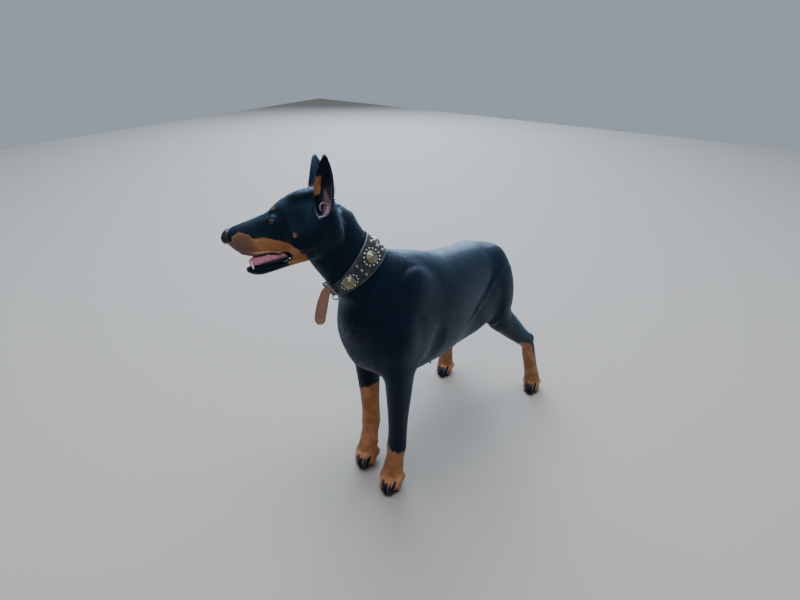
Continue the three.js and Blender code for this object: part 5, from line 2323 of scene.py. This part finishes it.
@dataclass
class Face:
    """The eyes, the nose leather, the tongue and the teeth."""

    place: Place
    cornea: float = 0.9
    iris_edge: float = 0.92

    def build(self) -> None:
        """Makes each piece."""
        for side, name in ((RIGHT, "eye_right"), (LEFT, "eye_left")):
            self._eye(side, name)
        self._nose()
        self._tongue()
        self._teeth()

    def _eye(self, side: int, name: str) -> None:
        """Makes an eyeball with a raised cornea.

        Args:
            side: the head's own left or right.
            name: the eye's name.
        """
        eye = EyeAxes(side)
        turn = np.linspace(0.02, math.pi - 0.02, 44)
        angle = np.linspace(0, 2 * math.pi, 40, endpoint=False)
        reach = EYE_RADIUS + self.cornea * np.clip(1 - (turn / self.iris_edge) ** 2, 0, 1) ** 1.5
        ring = np.cos(angle)[:, None] * eye.along + np.sin(angle)[:, None] * eye.up
        rings = np.array(
            [eye.at + eye.out * r * math.cos(t) + ring * r * math.sin(t) for t, r in zip(turn, reach)]
        )
        piece = Piece()
        piece.add(HEAD.out(rings.reshape(-1, 3)).reshape(rings.shape))
        piece.faces = [face[::-1] for face in piece.faces]
        made = piece.build(name + "_ball", self.place, EYE_FINISH, name)
        stain(made, "turn", np.repeat(turn, len(angle)))

    def _nose(self) -> None:
        """Makes the nose leather with its nostrils and the groove below."""
        clay = Clay((157, -22, -20), (191, 22, 32), 0.6)
        clay.work(Loft(NOSE_ROWS), 1)
        for side in SIDES:
            clay.work(Ball((177, side * 11.5, 9), (7.5, 5.5, 7)), 3)
        clay.work(Ball((181.5, 0, 5), (5, 4.5, 8)), 3)
        for side in SIDES:
            clay.work(Ball((186, side * 7.8, 10.5), (6, 3.2, 3.9), (0, 0, side * 28)), 1.4, Join.CUT)
            clay.work(
                Rod([(184.5, side * 9, 9), (180, side * 13.5, 5), (173, side * 17.5, 2)], [1.7, 1.2, 0.7]),
                1, Join.CUT
            )
        clay.work(
            Rod([(188, 0, 12), (186.5, 0, 6), (183, 0, -2), (174, 0, -8)], [0.5, 0.9, 1.1, 1.3]),
            1, Join.CUT
        )
        points, faces = clay.skin()
        made = attach(
            "nose_leather", self.place.put(HEAD.out(relaxed(points, faces, 2, 0.4))), faces, NOSE_FINISH
        )
        stain(made, "worn", np.zeros(len(points)))
        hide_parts("nose")

    def _tongue(self) -> None:
        """Makes the tongue with its groove and its uneven edges."""
        clay = Clay((44, -26, -88), (147, 26, -42), 0.9)
        clay.work(Loft(TONGUE_ROWS), 1)
        clay.work(
            Rod([(50, 0, -54), (80, 0, -45), (112, 0, -48), (140, 0, -58)], [1.6, 1.8, 1.7, 0.9]),
            3.5, Join.CUT
        )
        for side in SIDES:
            for k in range(6):
                x = 66 + 12.5 * k
                clay.work(Ball((x, side * (23.5 - 0.022 * (x - 66)), -66), (3, 1.6, 3)), 2.5, Join.CUT)
        points, faces = clay.skin()
        made = attach(
            "tongue_flesh", self.place.put(HEAD.out(relaxed(points, faces, 2, 0.4))), faces, TONGUE_FINISH
        )
        stain(made, "worn", np.zeros(len(points)))
        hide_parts("tongue")

    def _teeth(self) -> None:
        """Makes the teeth that the open mouth shows."""
        piece = Piece()
        ahead = np.array([1.0, 0, 0])
        for side in SIDES:
            mirror = np.array([1, side, 1])

            def turned(v: Sequence[float], mirror: Array = mirror) -> Array:
                """Turns a direction of the head's left side to this side of the dog's frame."""
                return HEAD.out(np.array(v) * mirror) - HEAD.out(np.zeros(3))

            # the canines, then the cutting teeth in front, then the cheek teeth
            horns = [
                ((140, 15.5, -81), (0.14, 0.14, 1), -ahead, 22, (2.5, 3.2), -0.25),
                ((137, 17, -37), (0.12, 0, -1), -ahead, 13, (3.0, 3.8), 0.3)
            ]
            for y in (2.6, 7.4):
                horns.append(((154 - 0.25 * y, y, -77), (0.12, 0, 1), -ahead, 9, (2.2, 1.8), 0.1))
                horns.append(((159 - 0.3 * y, y, -24), (0.1, 0, -1), -ahead, 7, (2.3, 1.9), 0.1))
            for x, y, root, tall, wide in (
                (124, 20, -43, 6, 4.6), (112, 21, -44, 8, 5.2), (99, 21.5, -50, 16, 6.6)
            ):
                horns.append(((x, y, root), (0, 0, -1), ahead, tall, (2.4, wide), 0.12))
            for root, way, over, long, radii, curl in horns:
                piece.horn(
                    HEAD.out(np.array(root) * mirror), unit(turned(way)), turned(over), long, radii, curl
                )
        piece.build("teeth", self.place, ENAMEL)


@dataclass
class Claws:
    """The claws of one paw."""

    place: Place
    leg: Leg
    sunk: float = 7.0
    curl: float = 0.85

    def build(self) -> None:
        """Makes each claw from inside the toe to its tip."""
        for k, (root, ahead, left, long, radius) in enumerate(self.leg.claw_roots()):
            name = f"{self.leg.name}_claw_{k + 1}"
            piece = Piece()
            over = np.cross(ahead, left)
            over = over if over[2] > 0 else -over
            start = root - ahead * self.sunk
            piece.horn(start, unit(ahead + over * 0.12), over, long, (radius * 0.86, radius * 1.1), self.curl)
            piece.build(name + "_horn", self.place, CLAW_HORN, name)


# The collar


COLLAR_REAR = (3.07, -0.22, 0.03)
COLLAR_FRONT = (4.12, 0.25, 0)
COLLAR_EASE = 1.5
COLLAR_THICK = 4.0
CONCHO_ANGLES = (-104, -46, 12, 70, 128)
SPIKE_ANGLES = (-133, -75, -17, 41, 99)
BUCKLE_ANGLE = 172
BUCKLE_ACROSS = 0.86


def on_collar(degrees: float, across: float, lift: float = 0.0) -> Array:
    """Finds a point on the collar.

    Args:
        degrees: its angle from the nape, toward the left.
        across: its place across the strap, from 0 at the rear edge to 1.
        lift: how far it stands off the inner face.

    Returns:
        The point.
    """
    turn = math.radians(degrees)
    rear, front = (
        m + nape * math.cos(turn) + left * math.sin(turn) for m, nape, left in (COLLAR_REAR, COLLAR_FRONT)
    )
    return ring_place(degrees, rear + (front - rear) * across, COLLAR_EASE + lift)


def collar_frame(
    degrees: float, across: float, lift: float = COLLAR_THICK
) -> tuple[Array, Array, Array, Array]:
    """Gives a foot on the collar with its directions.

    Args:
        degrees: its angle from the nape, toward the left.
        across: its place across the strap.
        lift: how far it stands off the inner face.

    Returns:
        The foot, and the directions across, round and out of the strap.
    """
    foot = on_collar(degrees, across, lift)
    along = unit(
        on_collar(degrees, min(across + 0.05, 1), lift) - on_collar(degrees, max(across - 0.05, 0), lift)
    )
    around = on_collar(degrees + 2, across, lift) - on_collar(degrees - 2, across, lift)
    out = unit(np.cross(around, along))
    if out @ (on_collar(degrees, across, lift + 1) - foot) < 0:
        out = -out
    along = unit(along - out * (along @ out))
    return foot, along, np.cross(out, along), out


@dataclass
class Collar:
    """A wide leather collar with rosettes, studs and spikes."""

    place: Place
    stud_ring: float = 21.0
    studs: int = 14
    concho_radius: float = 16.0
    spike_places: tuple[float, ...] = (0.22, 0.5, 0.78)
    buckle_half: tuple[float, float] = (20, 13)
    ring_radius: float = 7.5
    wire_radii: tuple[float, float] = (1.9, 1.5)
    strap_half: float = 14.0
    strap_thick: float = 1.9

    def build(self) -> None:
        """Makes the strap, its metal and its loose end."""
        self._strap()
        self._conchos()
        self._studs()
        self._buckle()
        self._strap_end()

    def _strap(self) -> None:
        """Makes the strap with a raised edge and a creased line inside it."""
        profile = [
            (0, 0.3), (0, 2.6), (0.012, 3.5), (0.035, 3.95), (0.07, 4.0),
            (0.085, 3.75), (0.1, 3.2), (0.115, 3.75), (0.14, 4.0),
            (0.3, 4.05), (0.5, 4.05), (0.7, 4.05), (0.86, 4.0),
            (0.885, 3.75), (0.9, 3.2), (0.915, 3.75), (0.93, 4.0),
            (0.965, 3.95), (0.988, 3.5), (1, 2.6), (1, 0.3), (0.75, 0), (0.5, 0), (0.25, 0),
        ]
        rings = [[on_collar(1.5 * k, across, lift) for across, lift in profile] for k in range(240)]
        edge = [
            0.25 if 0 < i < 5 or 15 < i < 20 else -0.25 if i in (6, 14) else 0 for i in range(len(profile))
        ]
        piece = Piece()
        piece.add(np.array(rings), loop=True, worn=np.array([edge] * len(rings)))
        piece.build("collar_strap", self.place, COLLAR_LEATHER, "collar")

    def _conchos(self) -> None:
        """Makes the domed rosettes with their rings."""
        r = self.concho_radius
        outline = [(0, -3), (r, -3), (r, 0.4), (r - 0.5, 0.9), (r - 1.3, 0.9), (r - 1.9, 0.3)]
        rings = 6
        for k in range(rings):
            far = r - 2.4 - k * (r - 4.4) / rings
            height = 5.2 * (1 - (far / r) ** 2)
            outline += [
                (far + 0.1, height + 0.2), (far - 0.5, height + 0.85),
                (far - 1.1, height + 0.75), (far - 1.7, height + 0.25)
            ]
        outline += [(1.9, 5.3), (1.7, 6.0), (1.0, 6.5), (0, 6.6)]
        for k, degrees in enumerate(CONCHO_ANGLES):
            piece = Piece()
            piece.turned(outline, collar_frame(degrees, 0.5, COLLAR_THICK - 0.2), 48)
            piece.build(f"concho_{k + 1}_metal", self.place, CONCHO_METAL, f"concho_{k + 1}")

    def _studs(self) -> None:
        """Makes the small studs round each rosette and the spikes between the rosettes."""
        piece = Piece()
        wide = float(np.linalg.norm(on_collar(0, 0) - on_collar(0, 1)))
        girth = sum(
            float(np.linalg.norm(on_collar(k * 10, 0.5) - on_collar(k * 10 + 10, 0.5))) for k in range(36)
        )
        dome = [(0, -2), (2.7, -2), (2.75, 0.2), (2.5, 1.1), (1.9, 1.9), (1.0, 2.4), (0, 2.55)]
        for degrees in CONCHO_ANGLES:
            for k in range(self.studs):
                turn = 2 * math.pi * (k + 0.5) / self.studs
                around = degrees + math.sin(turn) * self.stud_ring * 360 / girth
                piece.turned(
                    dome,
                    collar_frame(around, 0.5 + math.cos(turn) * self.stud_ring / wide, COLLAR_THICK), 16
                )
        spike = [
            (0, -2), (4.2, -2), (4.3, 0.4), (4.0, 1.2), (3.4, 2.2),
            (2.3, 5.4), (1.2, 8.6), (0.6, 9.9), (0, 10.3)
        ]
        for degrees in SPIKE_ANGLES:
            for across in self.spike_places:
                piece.turned(spike, collar_frame(degrees, across, COLLAR_THICK), 20)
        piece.worn = [np.zeros(len(points)) for points in piece.points]
        piece.build("collar_studs", self.place, STUD_METAL)

    def _buckle(self) -> None:
        """Makes the buckle's frame, its tongue and the small ring beside it."""
        foot, along, around, out = collar_frame(BUCKLE_ANGLE, BUCKLE_ACROSS, COLLAR_THICK + 4.7)
        piece = Piece()

        def wire(line: Array, radius: float, loop: bool) -> None:
            """Bends a round wire along a line.

            Args:
                line: its points.
                radius: the wire's radius.
                loop: whether its ends meet.
            """
            way = np.roll(line, -1, 0) - np.roll(line, 1, 0) if loop else np.gradient(line, axis=0)
            angle = np.linspace(0, 2 * math.pi, 12, endpoint=False)
            sides = unit(np.cross(way, out))
            overs = unit(np.cross(sides, way))
            round_u, round_v = radius * np.cos(angle)[:, None], radius * np.sin(angle)[:, None]
            rings = [p + (round_u * u + round_v * v) for p, u, v in zip(line, sides, overs)]
            piece.add(np.array(rings), loop=loop)

        angle = np.linspace(0, 2 * math.pi, 64, endpoint=False)
        corner = [np.sign(f(angle)) * np.abs(f(angle)) ** 0.45 for f in (np.cos, np.sin)]
        wide, tall = self.buckle_half
        thick, thin = self.wire_radii
        wire(foot + corner[0][:, None] * along * wide + corner[1][:, None] * around * tall, thick, True)
        bar = np.linspace(-1, 1, 14)[:, None]
        wire(foot + bar * along * wide + out * (1.6 - 1.4 * bar**2), thin, False)
        ring_foot = foot - along * 24 + around * 3 + out * 1.5
        circle = np.cos(angle)[:, None] * along + np.sin(angle)[:, None] * out
        wire(ring_foot + self.ring_radius * circle, thin, True)
        piece.build("buckle_metal", self.place, BUCKLE_METAL, "buckle")

    def _strap_end(self) -> None:
        """Makes the strap's loose end, hanging in front of the chest, with its rounded tip."""
        top = on_collar(BUCKLE_ANGLE, BUCKLE_ACROSS, COLLAR_THICK + 6)
        side = unit(HEAD.axes()[0] * (1, 1, 0))
        rows = [
            (-5.5, 4, 1.2, 0.7), (5.5, 10, 3.7, 0.84), (36.8, 16, 10.3, 1),
            (71.8, 18.7, 17, 1), (85.6, 18, 18, 0.8), (92, 17.5, 18.5, 0.34)
        ]
        fine = smooth_rows(rows, np.linspace(0, 5, 60))
        quarter = [(0.4, -0.9), (0.85, -1), (0.97, -0.8), (1, -0.3)]
        under = [(-x, y) for x, y in quarter[::-1]] + quarter
        profile = np.array(under + [(-x, -y) for x, y in under])
        rings, worn = [], []
        line = np.array([top + (-ahead, aside, -down) for down, ahead, aside, _ in fine])
        ways = unit(np.gradient(line, axis=0))
        for at, way, (_, _, _, share) in zip(line, ways, fine):
            thick = unit(np.cross(way, side))
            across = profile[:, :1] * side * self.strap_half * share
            rings.append(at + across + profile[:, 1:] * thick * self.strap_thick)
            worn.append(np.where(np.abs(profile[:, 0]) > 0.9, -0.3, 0.0))
        piece = Piece()
        piece.add(np.array(rings), worn=np.array(worn))
        piece.build("strap_end_leather", self.place, STRAP_LEATHER, "strap_end")


# Studio


@dataclass
class Studio:
    """A pale floor, soft lights and the camera of the photograph."""

    place: Place
    lens: float = 29.7
    eye: tuple[float, float, float] = (-1200, -967, 1248)
    heading: float = 36.5
    tilt: float = math.degrees(math.atan(300 / 660))
    floor_half: float = 5.6

    def build(self) -> None:
        """Makes the camera, the floor and the lights."""
        self._camera()
        self._floor()
        self._lights()

    def _camera(self) -> None:
        """Sets the camera where the photograph was taken from."""
        data = bpy.data.cameras.new("camera")
        data.lens = self.lens
        data.sensor_width = 36
        made = bpy.data.objects.new("camera", data)
        bpy.context.scene.collection.objects.link(made)
        made.location = Vector(self.place.put(np.array(self.eye)))
        turn, down = math.radians(self.heading), math.radians(self.tilt)
        way = Vector((math.cos(turn) * math.cos(down), math.sin(turn) * math.cos(down), -math.sin(down)))
        made.rotation_euler = way.to_track_quat("-Z", "Y").to_euler()
        bpy.context.scene.camera = made

    def _floor(self) -> None:
        """Lays the floor."""
        half = self.floor_half
        mesh = bpy.data.meshes.new("floor")
        mesh.from_pydata(
            [(-half, -half, 0), (half, -half, 0), (half, half, 0), (-half, half, 0)], [], [(0, 1, 2, 3)]
        )
        made = bpy.data.objects.new("floor", mesh)
        bpy.context.scene.collection.objects.link(made)
        finish = Finish("matt_floor_paint", "floor", "#928b82", 0.85)
        made.data.materials.append(finish.material())
        made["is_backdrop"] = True

    def _lights(self) -> None:
        """Hangs a broad sky-like light above, a key and a back light, under pale blue air."""
        world = bpy.data.worlds.new("studio_air")
        bpy.context.scene.world = world
        world.use_nodes = True
        world.node_tree.nodes["Background"].inputs["Color"].default_value = linear("#c6d4e4")
        world.node_tree.nodes["Background"].inputs["Strength"].default_value = 0.55
        for name, at, size, power, code in (
            ("sky_panel", (0.6, 0.6, 4.6), 5.0, 520, "#dbe7f6"),
            ("key_panel", (-2.6, -1.6, 2.8), 1.6, 22, "#fff6ea"),
            ("back_panel", (4.4, 3.6, 3.1), 4.6, 620, "#c4daf5"),
        ):
            data = bpy.data.lights.new(name, "AREA")
            data.shape = "DISK"
            data.size = size
            data.energy = power
            data.color = linear(code)[:3]
            made = bpy.data.objects.new(name, data)
            bpy.context.scene.collection.objects.link(made)
            made.location = at
            made.rotation_euler = (Vector((0, 0, 0.4)) - Vector(at)).to_track_quat("-Z", "Y").to_euler()


def corners(box: Sequence) -> list[list[float]]:
    """Gives a box as plain lists of numbers."""
    return [[float(v) for v in corner] for corner in box]


def main() -> None:
    """Builds the dog in order."""
    logging.basicConfig(level=logging.INFO, format="%(name)s %(message)s")
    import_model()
    solids = corners(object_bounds())
    place = Place.read()
    Studio(place).build()
    Body(place).build()
    Head(place).build()
    Face(place).build()
    for leg in LEGS:
        Claws(place, leg).build()
    Collar(place).build()
    {"solids": solids, "visual": corners(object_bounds())}


if __name__ == "__main__":
    main()
